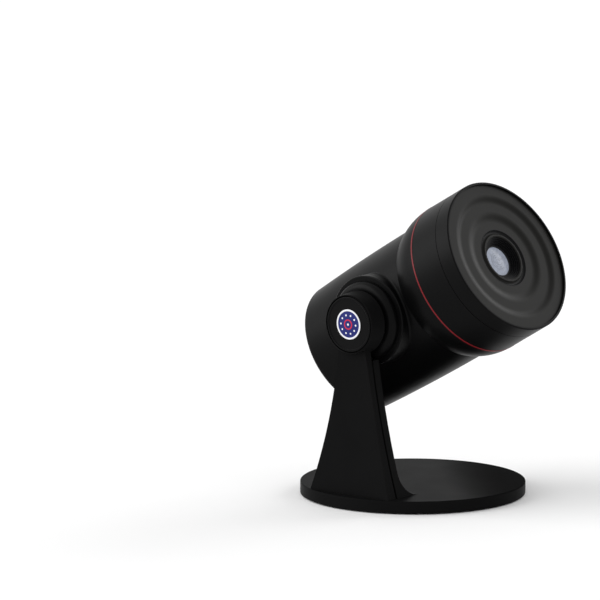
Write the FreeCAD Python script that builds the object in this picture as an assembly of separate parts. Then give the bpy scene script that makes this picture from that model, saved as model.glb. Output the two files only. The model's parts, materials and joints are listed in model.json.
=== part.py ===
import FreeCAD, Part

import math
import os

# A desk-top projector: a round base, one upright arm, and a barrel that tilts on a hub in the arm's eye.
# Lengths are millimetres. The frame stands at the middle of the foot pad's underside, +Z up; the barrel
# looks along -Y, raised by its tilt, and the arm stands on the -X side.

Vector = FreeCAD.Vector

# Overall form
base_radius = 57.5
base_thickness = 6.3
foot_proud = 0.5
pivot_height = 94.15
barrel_tilt_deg = 30.44
barrel_front_length = 40.5

# Angles round an axis that several pieces share
top_deg = 90.0
front_screw_deg = 30.0

# Gaps and fits that several pieces share
running_gap = 0.05
slip_gap = 0.1
loose_gap = 0.3
cut_over = 1.0

# Screws
screw_radius = 1.25
screw_head_radius = 2.4
screw_head_height = 1.0
screw_length = 6.0
short_screw_length = 3.6
small_screw_radius = 1.0
small_screw_head_radius = 1.9
recess_width_share = 0.22
recess_reach_share = 0.62
recess_depth_share = 0.5

# Base
base_wall = 2.0
base_skin = 1.8
base_edge_round = 0.5
bottom_plate_thickness = 2.2
foot_pad_recess = 0.5
foot_pad_inset = 5.5
weight_gap = 0.6
base_post_radius = 3.0
base_post_inset = 9.5
base_screw_count = 4

# Arm, seen from its side: half widths of the stem, and from the front: its thickness
stem_top_half = 8.4
stem_top_below_pivot = 12.0
stem_middle_half = 15.2
foot_rim_gap = 0.4
foot_margin = 6.1
foot_thickness = 12.1
stem_waist_thickness = 9.5
stem_waist_height = 40.0
stem_top_thickness = 11.0
foot_sweep = 12.0
seam_setback = 2.3
seam_width = 1.2
stem_edge_round = 1.2
arm_screw_sink = 1.1
cover_wall = 1.8
channel_wall = 2.2
arm_screw_height_shares = (0.32, 0.64)
arm_post_radius = 3.0

# Eye and pivot stack
stem_lap = 1.7
boss_clearance = 3.2
eye_boss_gap = 1.6
eye_depth = 9.3
cap_radius = 14.1
cap_thickness = 1.9
cap_gap = 0.5
cap_edge_round = 0.4
cap_dish = 0.3
cap_dish_inset = 1.3
cap_skirt_radius = 8.9
cap_skirt_wall = 1.3
cap_skirt_length = 2.0
badge_radius = 7.7
badge_thickness = 0.3
eye_rim = 1.1
eye_taper = 0.9
eye_edge_round = 0.6
eye_floor_thickness = 1.5
eye_plate_step = 1.1
eye_plate_thickness = 3.2
eye_plate_setback = 0.25
boss_rim = 4.8
boss_round = 3.4
boss_shelf_gap = 0.9
boss_collar_at = 4.2
boss_collar_step = 2.9
boss_collar_round = 0.6
boss_blend = 0.9
bolt_radius = 3.0
bolt_head_radius = 5.0
bolt_head_height = 2.5
bolt_tail = 0.6
spring_washer_thickness = 0.5
spring_washer_width = 2.6
friction_washer_inset = 0.5
bushing_wall = 2.0
pivot_hub_wall = 3.0
pivot_hub_length = 10.8
flat_washer_width = 3.5
flat_washer_thickness = 1.0
nut_flats = 10.0
nut_height = 5.0

# Barrel shell
shell_gap = 1.73
shell_wall = 2.2
shoulder_step = 4.15
shoulder_length = 15.5
belly_drop = 0.65
belly_behind_pivot = 12.0
rear_taper = 1.5
shell_rear_round = 2.5
red_ring_width = 0.75
red_ring_depth = 2.4
red_ring_proud = 0.08
rear_rim = 3.9
rear_ledge_width = 6.6
rear_ledge_thickness = 1.6
rear_ledge_depth = 2.2
rear_post_radius = 2.7
rear_post_inset = 3.3
rear_post_length = 8.0
rear_screw_count = 3
stage_post_radius = 3.0
stage_post_inset = 2.65
stage_post_length = 11.0
stage_screw_count = 4

# Rear cover, buttons, socket and control board
rear_cover_thickness = 1.8
rear_cover_gap = 0.2
button_radius = 4.4
button_proud = 0.8
button_flange = 0.9
button_flange_thickness = 0.75
button_travel = 0.5
button_spread = 8.5
button_rise = 7.0
button_edge_round = 0.4
socket_width = 8.9
socket_height = 3.3
socket_wall = 0.35
socket_drop = 11.0
socket_setback = 0.3
socket_tongue_setback = 0.3
port_gap = 0.35
socket_tongue_width_share = 0.7
socket_tongue_height_share = 0.3
vent_count = 24
vent_inset = 2.5
vent_length = 4.0
vent_width = 1.4
board_gap = 1.0
board_thickness = 1.4
board_post_length = 5.3
board_post_radius = 2.2
board_post_inset = 3.5
board_screw_count = 3
board_screw_turn_deg = 60.0
switch_side = 6.0
switch_height = 3.3
switch_plunger_radius = 1.7
chip_side = 7.0
chip_height = 1.2
capacitor_radius = 2.5
capacitor_height = 3.5
board_part_spread = 8.0

# Light engine
board_clearance = 2.2
stage_thickness = 2.4
stage_window_inset = 1.0
lamp_bore = 13.0
lamp_wall = 2.2
lamp_lip = 1.2
lamp_lip_thickness = 4.0
lamp_length = 21.5
lamp_flange_edge = 2.6
lamp_front_flange_step = 0.5
lamp_flange_thickness = 2.0
lamp_screw_count = 3
lens_edge = 1.2
condenser_dome = 2.6
condenser_gap = 0.6
condenser_ring_length = 2.0
condenser_ring_wall = 1.1
heat_sink_base = 3.4
heat_sink_depth = 17.0
fin_count = 8
fin_thickness = 1.3
light_board_radius = 10.0
light_board_thickness = 1.5
emitter_side = 5.0
emitter_base = 0.9
emitter_dome_radius = 2.2

# Film drive
gear_module = 0.8
film_gear_teeth = 56
pinion_teeth = 12
pressure_angle_deg = 25.0
tooth_backlash = 0.16
tip_share = 0.9
root_share = 1.25
gear_lift = 1.6
gear_width = 4.6
collar_step = 1.0
collar_wall = 2.4
collar_engage = 1.8
gear_flange_thickness = 0.8
gear_flange_reach = 2.6
film_radius = 16.0
film_thickness = 1.2
film_rim = 3.0
film_picture_thickness = 0.6
motor_shaft_radius = 1.5
motor_width = 12.0
motor_depth = 10.0
gearbox_length = 9.0
motor_can_length = 15.0
motor_screw_spread = 4.2
motor_screw_radius = 0.8
motor_tail_radius = 2.0
motor_tail = 1.0

# Head
bezel_length = 8.85
bezel_seam = 0.3
head_wall = 2.0
head_web = 2.0
spigot_length = 7.8
spigot_wall = 2.6
seal_radius = 0.8
seal_squeeze = 0.05
seal_setback = 3.6
web_gap = 5.6
guide_screw_step = 4.5
guide_flange_edge = 3.5
guide_flange_thickness = 2.0
guide_screw_count = 3
guide_wall = 1.7
guide_tail = 5.0
rim_round = 0.7
rim_lip = 1.3
rim_depth = 1.0
bezel_ledge = 2.6
bezel_collar_length = 4.0
plate_depth = 6.5
plate_edge_thickness = 1.8
plate_back_step = 1.0
ripple_radius_shares = (0.776, 0.593, 0.4025, 0.183)
ripple_drop = 0.9
collar_width = 3.7
collar_groove_width = 2.2
collar_groove_depth = 0.9
throat_collar_round = 0.3
throat_bevel = 0.3
throat_bevel_width = 0.6
throat_collar_rise = 0.1
throat_floor = 0.2
throat_lip = 0.4
throat_flare = 3.3
throat_steps = 5

# Focus cam and lens tube
lens_tube_radius = 12.6
lens_tube_gap = 0.2
lens_tube_wall = 1.7
lens_tube_tail = 1.05
lens_lip_thickness = 0.75
lens_lip = 1.5
front_lens_inset = 3.2
front_lens_edge = 2.2
front_lens_dome = 0.8
front_spacer_length = 3.0
rear_spacer_length = 11.0
rear_lens_edge = 2.4
lens_dome = 1.5
spacer_wall = 1.2
retainer_length = 2.5
cam_wall = 2.5
cam_rear_land = 1.2
cam_flange_thickness = 2.0
cam_flange_edge = 2.5
cam_step = 1.5
cam_step_ahead = 3.6
guide_front_ahead = 2.0
lens_tube_ahead = 2.7
cam_screw_count = 3
cam_screw_bite = 1.7
cam_pin_radius = 1.2
cam_pin_count = 3
cam_pin_inset = 0.4
cam_slot_gap = 0.15
focus_travel = 5.0
focus_turn_deg = 90.0
clip_thickness = 1.0
clip_groove_depth = 0.5
clip_reach = 1.2
clip_mouth_share = 0.5

# Film drive and light engine, worked out from the sizes above
gear_pitch = gear_module * film_gear_teeth / 2
pinion_pitch = gear_module * pinion_teeth / 2
pinion_distance = gear_pitch + pinion_pitch
collar_radius = film_radius + collar_step
gear_flange_radius = film_radius - gear_flange_reach
lamp_screw_circle = lamp_bore + lamp_wall + small_screw_head_radius + loose_gap
lamp_flange_radius = lamp_screw_circle + lamp_flange_edge
lamp_front_flange_radius = lamp_flange_radius - lamp_front_flange_step
stage_window_radius = lamp_bore - stage_window_inset

# Barrel and head radii, from the pinion outwards
neck_bore = pinion_distance + pinion_pitch + gear_module * tip_share + shell_gap
neck_radius = neck_bore + shell_wall
head_radius = neck_radius + shoulder_step
belly_radius = neck_radius - belly_drop
shell_rear_radius = belly_radius - rear_taper
rear_opening_radius = shell_rear_radius - rear_rim
rear_ledge_radius = rear_opening_radius - rear_ledge_width
rear_post_circle = rear_opening_radius - rear_post_inset
stage_post_circle = neck_bore - stage_post_inset
board_radius = rear_ledge_radius - board_gap
board_post_circle = board_radius - board_post_inset
vent_outer_radius = rear_ledge_radius - vent_inset
vent_inner_radius = vent_outer_radius - vent_length
red_ring_inner = head_radius - red_ring_depth
sleeve_bore = head_radius - head_wall
spigot_radius = neck_bore - loose_gap
seal_circle = neck_bore - seal_squeeze - seal_radius

# Lens tube and front plate radii, from the tube outwards
front_lens_radius = lens_tube_radius - front_lens_inset
lens_lip_radius = front_lens_radius - lens_lip
tube_lens_radius = lens_tube_radius - lens_tube_wall - slip_gap
guide_bore = lens_tube_radius + slip_gap
guide_radius = guide_bore + guide_wall
cam_bore = guide_radius + slip_gap
cam_radius = cam_bore + cam_wall
cam_screw_circle = cam_radius + cam_step + small_screw_head_radius + slip_gap
cam_flange_radius = cam_screw_circle + cam_flange_edge
web_opening = guide_radius + web_gap
guide_screw_circle = web_opening + guide_screw_step
guide_flange_radius = guide_screw_circle + guide_flange_edge
plate_back_radius = cam_flange_radius + plate_back_step
throat_bottom_radius = lens_lip_radius + throat_lip
throat_mouth_radius = throat_bottom_radius + throat_flare
collar_groove_radius = throat_mouth_radius + collar_width
plate_radius = head_radius - rim_lip - slip_gap

# Stand, and the places along X of the arm and the pivot stack
base_bottom = foot_proud
base_top = base_bottom + base_thickness
base_ceiling = base_top - base_skin
pivot_z = base_bottom + pivot_height
base_post_circle = base_radius - base_post_inset
foot_x = foot_margin - base_radius
foot_half = math.sqrt(base_radius ** 2 - foot_x ** 2) - foot_rim_gap
stem_inner_x = foot_x + foot_thickness
stem_waist_x = stem_inner_x - stem_waist_thickness
stem_top_x = stem_inner_x - stem_top_thickness
boss_face_x = stem_inner_x - stem_lap
eye_inner_x = boss_face_x - eye_boss_gap
cap_face_x = eye_inner_x - eye_depth
seam_x = eye_inner_x - seam_setback
eye_outer_radius = cap_radius + eye_rim
eye_inner_radius = eye_outer_radius + eye_taper
boss_radius = eye_outer_radius + boss_rim
boss_collar_radius = boss_radius + boss_collar_step
eye_plate_radius = cap_radius - eye_plate_step
eye_floor_x = cap_face_x + cap_thickness + slip_gap
eye_floor_back_x = eye_floor_x + eye_floor_thickness
eye_plate_inner_x = eye_inner_x - eye_plate_setback
eye_plate_outer_x = eye_plate_inner_x - eye_plate_thickness
bolt_head_x = eye_plate_outer_x - spring_washer_thickness - 2 * running_gap
arm_web_x = stem_inner_x - channel_wall
arm_screw_seat_x = stem_inner_x - arm_screw_sink
boss_collar_x = boss_face_x + boss_collar_at
hub_end_x = boss_face_x + pivot_hub_length
bushing_radius = bolt_radius + bushing_wall
pivot_hub_radius = bushing_radius + pivot_hub_wall
flat_washer_x = hub_end_x + running_gap
nut_x = flat_washer_x + flat_washer_thickness + running_gap
barrel_offset = boss_face_x + boss_clearance + head_radius

# Places along the barrel's axis, forward of the pivot: back from the film stage, then on to the film
stage_at = pivot_hub_radius
lamp_rear_at = stage_at - lamp_length
heat_sink_front_at = lamp_rear_at
heat_sink_rear_at = heat_sink_front_at - heat_sink_base - heat_sink_depth
board_front_at = heat_sink_rear_at - board_clearance - capacitor_height
board_rear_at = board_front_at - board_thickness
rear_cover_front_at = board_rear_at - board_post_length
rear_cover_rear_at = rear_cover_front_at - rear_cover_thickness
shell_rear_at = rear_cover_front_at - rear_ledge_depth
belly_at = -belly_behind_pivot
button_front_at = rear_cover_front_at + slip_gap + button_flange_thickness
stage_front_at = stage_at + stage_thickness
condenser_front_at = stage_at - lamp_lip_thickness
condenser_rear_at = condenser_front_at - 2 * (lens_edge + condenser_dome) - condenser_gap
gear_rear_at = stage_front_at + gear_lift
gear_front_at = gear_rear_at + gear_width
collar_front_at = gear_rear_at + collar_engage
gear_flange_front_at = collar_front_at + 2 * slip_gap + gear_flange_thickness

# Places along the barrel's axis in the head
joint_at = barrel_front_length
neck_at = joint_at - shoulder_length
head_rear_at = joint_at + red_ring_width + slip_gap
guide_flange_at = head_rear_at + head_web
guide_flange_front_at = guide_flange_at + guide_flange_thickness
cam_pin_at = guide_flange_front_at + slip_gap + cam_rear_land + cam_pin_radius + cam_slot_gap + focus_travel
cam_step_at = cam_pin_at + cam_step_ahead
guide_front_at = cam_step_at + guide_front_ahead
lens_tube_front_at = guide_front_at + lens_tube_ahead
plate_back_at = lens_tube_front_at + lens_tube_gap
throat_bottom_at = plate_back_at + throat_floor
rim_at = plate_back_at + plate_depth
bezel_rear_at = rim_at - bezel_length
plate_front_at = rim_at - rim_depth
terrace_at = plate_front_at - ripple_drop
dish_at = terrace_at - ripple_drop
front_lens_rear_at = lens_tube_front_at - lens_lip_thickness - front_lens_edge
middle_lens_at = front_lens_rear_at - front_spacer_length - rear_lens_edge
rear_lens_at = middle_lens_at - rear_spacer_length - rear_lens_edge
lens_tube_rear_at = rear_lens_at - retainer_length - lens_tube_tail


# Outlines and placing

def turn_plane(along, radius):
    return Vector(radius, 0, along)


def front_plane(x, z):
    return Vector(x, 0, z)


def side_plane(y, z):
    return Vector(0, y, z)


def plan_plane(x, y):
    return Vector(x, y, 0)


class Outline:
    """A closed outline of lines and arcs, drawn from point to point in one plane."""

    def __init__(self, plane, start):
        self.plane = plane
        self.start = start
        self.last = start
        self.edges = []

    def to(self, *points):
        for point in points:
            self.edges.append(Part.makeLine(self.plane(*self.last), self.plane(*point)))
            self.last = point
        return self

    def through(self, middle, end):
        """An arc from the last point, through a middle point, to the end."""
        places = [self.plane(*point) for point in (self.last, middle, end)]
        self.edges.append(Part.Arc(*places).toShape())
        self.last = end
        return self

    def leave(self, heading, end):
        """An arc to the end that leaves the last point along the heading."""
        return self.through(tangent_middle(self.last, heading, end), end)

    def arrive(self, heading, end):
        """An arc to the end that reaches it along the heading."""
        back = (-heading[0], -heading[1])
        return self.through(tangent_middle(end, back, self.last), end)

    def ease(self, heading, end):
        """An S-bend that leaves and reaches its ends along the same heading."""
        halfway = ((self.last[0] + end[0]) / 2, (self.last[1] + end[1]) / 2)
        return self.leave(heading, halfway).arrive(heading, end)

    def face(self):
        if self.last != self.start:
            self.to(self.start)
        return Part.Face(Part.Wire(self.edges))

    def turned(self):
        """The outline turned once round the Z axis."""
        return self.face().revolve(Vector(0, 0, 0), Vector(0, 0, 1), 360)

    def pulled(self, direction):
        return self.face().extrude(direction)


def tangent_middle(start, heading, end):
    """The middle point of the arc that leaves start along the heading and goes to end."""
    size = math.hypot(*heading)
    normal = (-heading[1] / size, heading[0] / size)
    chord = (end[0] - start[0], end[1] - start[1])
    reach = normal[0] * chord[0] + normal[1] * chord[1]
    radius = (chord[0] ** 2 + chord[1] ** 2) / (2 * reach)
    centre = (start[0] + normal[0] * radius, start[1] + normal[1] * radius)
    middle = ((start[0] + end[0]) / 2 - centre[0], (start[1] + end[1]) / 2 - centre[1])
    stretch = abs(radius) / math.hypot(*middle)
    return (centre[0] + middle[0] * stretch, centre[1] + middle[1] * stretch)


def disc(radius, start, end):
    """A round bar on the Z axis, from one height to another."""
    return Part.makeCylinder(radius, end - start, Vector(0, 0, start))


def ring(outer, inner, start, end):
    return disc(outer, start, end).cut(disc(inner, start - cut_over, end + cut_over))


def box(x_range, y_range, z_range):
    low = Vector(x_range[0], y_range[0], z_range[0])
    return Part.makeBox(x_range[1] - x_range[0], y_range[1] - y_range[0], z_range[1] - z_range[0], low)


def moved(shape, place):
    result = shape.copy()
    result.Placement = place.multiply(result.Placement)
    return result


def shifted(shape, offset):
    return moved(shape, FreeCAD.Placement(offset, FreeCAD.Rotation()))


def spun(shape, angle_deg):
    """Turned about the Z axis."""
    turn = FreeCAD.Rotation(Vector(0, 0, 1), angle_deg)
    return moved(shape, FreeCAD.Placement(Vector(0, 0, 0), turn))


def round_copies(shape, count, radius, start_deg=0.0):
    """Copies of a shape on a circle round the Z axis, the first at the start angle."""
    outward = shifted(shape, Vector(radius, 0, 0))
    return [spun(outward, start_deg + 360 / count * step) for step in range(count)]


def along_x(shape):
    """Lays a shape drawn up the Z axis along X, in the pivot's line."""
    turn = FreeCAD.Rotation(Vector(0, 1, 0), 90)
    return moved(shape, FreeCAD.Placement(Vector(0, 0, pivot_z), turn))


def across_barrel(shape):
    """The same, in the barrel's own frame."""
    turn = FreeCAD.Rotation(Vector(0, 1, 0), 90)
    return moved(shape, FreeCAD.Placement(Vector(-barrel_offset, 0, 0), turn))


def on_barrel(shape):
    """Carries a shape drawn up the Z axis to the tilted barrel, its +Y side up."""
    turn = FreeCAD.Rotation(Vector(1, 0, 0), 90 - barrel_tilt_deg)
    return moved(shape, FreeCAD.Placement(Vector(barrel_offset, 0, pivot_z), turn))


def flipped(shape):
    """Turned to point down the Z axis."""
    turn = FreeCAD.Rotation(Vector(1, 0, 0), 180)
    return moved(shape, FreeCAD.Placement(Vector(0, 0, 0), turn))


def group(shapes):
    return shapes[0] if len(shapes) == 1 else Part.Compound(shapes)


def cut_all(shape, tools):
    return shape.cut(Part.Compound(tools))


def rounded(shape, radius, wanted):
    """Rounds the edges whose middle point the test picks."""
    edges = [edge for edge in shape.Edges if wanted(edge_middle(edge))]
    return shape.makeFillet(radius, edges)


def edge_middle(edge):
    return edge.valueAt((edge.FirstParameter + edge.LastParameter) / 2)


def circle_radius_at(along, first, second, third):
    """The radius, at a place along the axis, on the arc through three (along, radius) points."""
    (a, p), (b, q), (c, r) = first, second, third
    turn = 2 * (a * (q - r) + b * (r - p) + c * (p - q))
    squares = [x * x + y * y for x, y in (first, second, third)]
    centre_along = (squares[0] * (q - r) + squares[1] * (r - p) + squares[2] * (p - q)) / turn
    centre_radius = (squares[0] * (c - b) + squares[1] * (a - c) + squares[2] * (b - a)) / turn
    size = math.hypot(a - centre_along, p - centre_radius)
    return centre_radius + math.sqrt(size ** 2 - (along - centre_along) ** 2)


# Fasteners

def screw(radius=screw_radius, length=screw_length, head_radius=screw_head_radius):
    """A pan-head screw: the head stands on Z = 0 with a cross recess, the shank hangs below."""
    edge = screw_head_height / 2
    outline = Outline(turn_plane, (-length, 0)).to((-length, radius / 2), (-length + radius / 2, radius))
    outline.to((0, radius), (0, head_radius), (edge, head_radius))
    outline.leave((1, 0), (screw_head_height, head_radius - edge)).to((screw_head_height, 0))
    reach = head_radius * recess_reach_share
    half_width = head_radius * recess_width_share / 2
    floor = screw_head_height * (1 - recess_depth_share)
    slot = box((-reach, reach), (-half_width, half_width), (floor, screw_head_height + cut_over))
    return outline.turned().cut(slot).cut(spun(slot, 90))


def small_screw(length=short_screw_length):
    return screw(small_screw_radius, length, small_screw_head_radius)


def pilot(radius, length):
    """What a screw's hole takes away below Z = 0."""
    return disc(radius + running_gap, -length, cut_over)


# Base and arm

def rounded_disc(radius, start, end, edge):
    """A disc with both rims rounded."""
    outline = Outline(turn_plane, (start, 0)).to((start, radius - edge))
    outline.leave((0, 1), (start + edge, radius)).to((end - edge, radius))
    outline.leave((1, 0), (end, radius - edge)).to((end, 0))
    return outline.turned()


def stem_side(inset):
    """The stem seen from the side, up to the pivot's height, drawn in by the inset."""
    top = pivot_z - stem_top_below_pivot
    middle = (base_top + top) / 2
    foot, waist, neck = foot_half - inset, stem_middle_half - inset, stem_top_half - inset
    outline = Outline(side_plane, (foot, base_top)).through((waist, middle), (neck, top))
    outline.to((neck, pivot_z), (-neck, pivot_z), (-neck, top))
    return outline.through((-waist, middle), (-foot, base_top))


def stem_prism(inset, low_x, high_x):
    return shifted(stem_side(inset).pulled(Vector(high_x - low_x, 0, 0)), Vector(low_x, 0, 0))


def stem_block():
    """Both halves of the stem in one: waisted outside, sweeping into the base inside."""
    outline = Outline(front_plane, (stem_top_x, pivot_z))
    outline.through((stem_waist_x, base_bottom + stem_waist_height), (foot_x, base_top))
    outline.to((stem_inner_x + foot_sweep, base_top))
    outline.leave((-1, 0), (stem_inner_x, base_top + foot_sweep)).to((stem_inner_x, pivot_z))
    depth = 2 * (foot_half + cut_over)
    front = shifted(outline.pulled(Vector(0, depth, 0)), Vector(0, -depth / 2, 0))
    side = stem_prism(0, foot_x - cut_over, stem_inner_x + foot_sweep + cut_over)
    return front.common(side)


def stem_half(low_x, high_x):
    side = (-foot_half - cut_over, foot_half + cut_over)
    return stem_block().common(box((low_x, high_x), side, (base_top - cut_over, pivot_z + cut_over)))


def eye():
    """The round end of the arm that surrounds the hub cap."""
    outline = Outline(turn_plane, (cap_face_x, 0)).to((cap_face_x, eye_outer_radius - eye_edge_round))
    outline.leave((0, 1), (cap_face_x + eye_edge_round, eye_outer_radius))
    outline.to((eye_inner_x, eye_inner_radius), (eye_inner_x, 0))
    return along_x(outline.turned())


def arm_screw_places():
    return [Vector(0, 0, pivot_height * (share - 1)) for share in arm_screw_height_shares]


def on_long_outer_edge(point):
    """Whether a point lies on a long edge beside the stem's outer face."""
    outside = point.x < stem_waist_x + slip_gap
    beside = abs(point.y) > stem_top_half - running_gap
    return outside and beside and base_top + cut_over < point.z < pivot_z - cut_over


def arm_cover():
    half = stem_half(foot_x - cut_over, seam_x)
    half = rounded(half, stem_edge_round, on_long_outer_edge)
    hollow = stem_prism(cover_wall, stem_waist_x + cover_wall, eye_inner_x + cut_over)
    recess = disc(cap_radius + cap_gap, cap_face_x - cut_over, eye_floor_x)
    opening = disc(cap_skirt_radius + slip_gap, cap_face_x, eye_inner_x)
    bore = disc(eye_plate_radius + loose_gap, eye_floor_back_x, eye_inner_x + cut_over)
    cover = half.fuse(eye()).cut(hollow)
    cover = cut_all(cover, [along_x(tool) for tool in (recess, opening, bore)])
    post = along_x(disc(arm_post_radius, stem_waist_x + cover_wall / 2, arm_web_x - slip_gap))
    hole = along_x(disc(small_screw_radius + running_gap, stem_waist_x + cover_wall, arm_web_x))
    for place in arm_screw_places():
        cover = cover.fuse(shifted(post, place)).cut(shifted(hole, place))
    return cover.removeSplitter()


def base_posts():
    post = disc(base_post_radius, base_bottom + bottom_plate_thickness + running_gap, base_ceiling)
    return round_copies(post, base_screw_count, base_post_circle)


def base_screw_holes():
    hole = disc(screw_radius + running_gap, base_bottom, base_ceiling)
    return round_copies(hole, base_screw_count, base_post_circle)


def base_plate():
    plate = rounded_disc(base_radius, base_bottom, base_top, base_edge_round)
    hollow = disc(base_radius - base_wall, base_bottom - cut_over, base_ceiling)
    plate = plate.cut(hollow)
    for post in base_posts():
        plate = plate.fuse(post)
    return cut_all(plate, base_screw_holes())


def stem_frame():
    """The inner half of the stem: a channel with a tongue that the cover fits round."""
    tongue_inset = cover_wall + slip_gap
    half = stem_half(seam_x + seam_width, stem_inner_x + foot_sweep + cut_over)
    shelf = disc(boss_radius + boss_shelf_gap, seam_x, stem_inner_x + foot_sweep)
    tongue = stem_prism(tongue_inset, eye_plate_outer_x, eye_plate_inner_x)
    plate = disc(eye_plate_radius, eye_plate_outer_x, eye_plate_inner_x)
    frame = half.cut(along_x(shelf)).fuse(tongue).fuse(along_x(plate))
    channel = stem_prism(tongue_inset + channel_wall, eye_plate_outer_x - cut_over, arm_web_x)
    side = (-foot_half, foot_half)
    height = (base_top + channel_wall, pivot_z - boss_radius - boss_shelf_gap - channel_wall)
    channel = channel.common(box((eye_plate_outer_x - cut_over, arm_web_x), side, height))
    return frame.cut(channel)


def stand_frame():
    frame = base_plate().fuse(stem_frame())
    frame = frame.cut(along_x(disc(bolt_radius + slip_gap, eye_plate_outer_x - cut_over, boss_face_x)))
    hole = disc(small_screw_radius + slip_gap, arm_web_x - cut_over, stem_inner_x + cut_over)
    seat = disc(small_screw_head_radius + slip_gap, arm_screw_seat_x, stem_inner_x + cut_over)
    for place in arm_screw_places():
        frame = frame.cut(shifted(along_x(hole), place)).cut(shifted(along_x(seat), place))
    return frame.removeSplitter()


def arm_screws():
    one = along_x(shifted(small_screw(screw_length), Vector(0, 0, arm_screw_seat_x)))
    return group([shifted(one, place) for place in arm_screw_places()])


def base_weight():
    """A steel disc that keeps the projector from tipping, with holes round the posts."""
    weight = disc(base_radius - base_wall - weight_gap, base_bottom + bottom_plate_thickness + slip_gap,
                  base_ceiling - slip_gap)
    hole = disc(base_post_radius + loose_gap, base_bottom, base_top)
    return cut_all(weight, round_copies(hole, base_screw_count, base_post_circle))


def base_bottom_plate():
    plate = disc(base_radius - base_wall - slip_gap, base_bottom, base_bottom + bottom_plate_thickness)
    recess_floor = base_bottom + foot_pad_recess
    plate = plate.cut(disc(base_radius - foot_pad_inset + slip_gap, base_bottom - cut_over, recess_floor))
    head = disc(screw_head_radius + slip_gap, base_bottom, recess_floor + screw_head_height)
    hole = disc(screw_radius + slip_gap, base_bottom, base_top)
    plate = cut_all(plate, round_copies(head, base_screw_count, base_post_circle))
    return cut_all(plate, round_copies(hole, base_screw_count, base_post_circle))


def base_screws():
    seat = base_bottom + foot_pad_recess + screw_head_height
    one = shifted(flipped(screw(length=base_ceiling - seat - slip_gap)), Vector(0, 0, seat))
    return group(round_copies(one, base_screw_count, base_post_circle))


def foot_pad():
    return disc(base_radius - foot_pad_inset, 0, foot_proud + foot_pad_recess)


# Pivot stack

def pivot_cap():
    dish_radius = cap_radius - cap_dish_inset
    back = cap_face_x + cap_thickness
    outline = Outline(turn_plane, (cap_face_x + cap_dish, 0)).to((cap_face_x + cap_dish, dish_radius))
    outline.to((cap_face_x, dish_radius + cap_dish), (cap_face_x, cap_radius - cap_edge_round))
    outline.leave((0, 1), (cap_face_x + cap_edge_round, cap_radius)).to((back, cap_radius))
    outline.to((back, cap_skirt_radius), (back + cap_skirt_length, cap_skirt_radius))
    outline.to((back + cap_skirt_length, cap_skirt_radius - cap_skirt_wall))
    outline.to((back, cap_skirt_radius - cap_skirt_wall), (back, 0))
    return along_x(outline.turned())


def pivot_badge():
    return along_x(disc(badge_radius, cap_face_x + cap_dish - badge_thickness, cap_face_x + cap_dish))


def hexagon(flats, start, end):
    corner = flats / 2 / math.cos(math.pi / 6)
    angles = [math.pi / 3 * step for step in range(6)]
    corners = [(corner * math.cos(angle), corner * math.sin(angle)) for angle in angles]
    outline = Outline(plan_plane, corners[0]).to(*corners[1:])
    return shifted(outline.pulled(Vector(0, 0, end - start)), Vector(0, 0, start))


def pivot_bolt():
    """A bolt with a hexagon socket in its head."""
    head_face = bolt_head_x - bolt_head_height
    shank = disc(bolt_radius, bolt_head_x, nut_x + nut_height + bolt_tail)
    head = disc(bolt_head_radius, head_face, bolt_head_x)
    socket = hexagon(bolt_head_radius, head_face - cut_over, head_face + bolt_head_height / 2)
    return along_x(head.fuse(shank).cut(socket).removeSplitter())


def spring_washer():
    start = bolt_head_x + running_gap
    end = start + spring_washer_thickness
    return along_x(ring(bolt_radius + spring_washer_width, bolt_radius + running_gap, start, end))


def friction_washer():
    start = eye_plate_inner_x + running_gap
    radius = eye_plate_radius - friction_washer_inset
    return along_x(ring(radius, bolt_radius + slip_gap, start, boss_face_x - running_gap))


def flat_washer():
    end = flat_washer_x + flat_washer_thickness
    radius = bolt_radius + flat_washer_width
    return along_x(ring(radius, bolt_radius + running_gap, flat_washer_x, end))


def pivot_nut():
    end = nut_x + nut_height
    bore = disc(bolt_radius + running_gap, nut_x - cut_over, end + cut_over)
    return along_x(hexagon(nut_flats, nut_x, end).cut(bore))


def pivot_bushing():
    return along_x(ring(bushing_radius, bolt_radius + running_gap, boss_face_x, hub_end_x))


# Barrel shell

def shell_radius_at(along):
    rear = (shell_rear_at + shell_rear_round, shell_rear_radius)
    return circle_radius_at(along, rear, (belly_at, belly_radius), (neck_at, neck_radius))


def shell_body():
    lip = joint_at + red_ring_width
    outline = Outline(turn_plane, (shell_rear_at, 0))
    outline.to((shell_rear_at, shell_rear_radius - shell_rear_round))
    outline.leave((0, 1), (shell_rear_at + shell_rear_round, shell_rear_radius))
    outline.through((belly_at, belly_radius), (neck_at, neck_radius))
    outline.arrive((1, 0), (joint_at, head_radius))
    outline.to((joint_at, red_ring_inner), (lip, red_ring_inner), (lip, 0))
    return outline.turned()


def shell_hollow():
    lip = joint_at + red_ring_width + cut_over
    ledge_front = rear_cover_front_at + rear_ledge_thickness
    outline = Outline(turn_plane, (shell_rear_at - cut_over, 0))
    outline.to((shell_rear_at - cut_over, rear_opening_radius), (rear_cover_front_at, rear_opening_radius))
    outline.to((rear_cover_front_at, rear_ledge_radius), (ledge_front, rear_ledge_radius))
    outline.to((ledge_front, shell_radius_at(ledge_front) - shell_wall))
    outline.through((belly_at, belly_radius - shell_wall), (neck_at, neck_bore))
    outline.to((lip, neck_bore), (lip, 0))
    return outline.turned()


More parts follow.
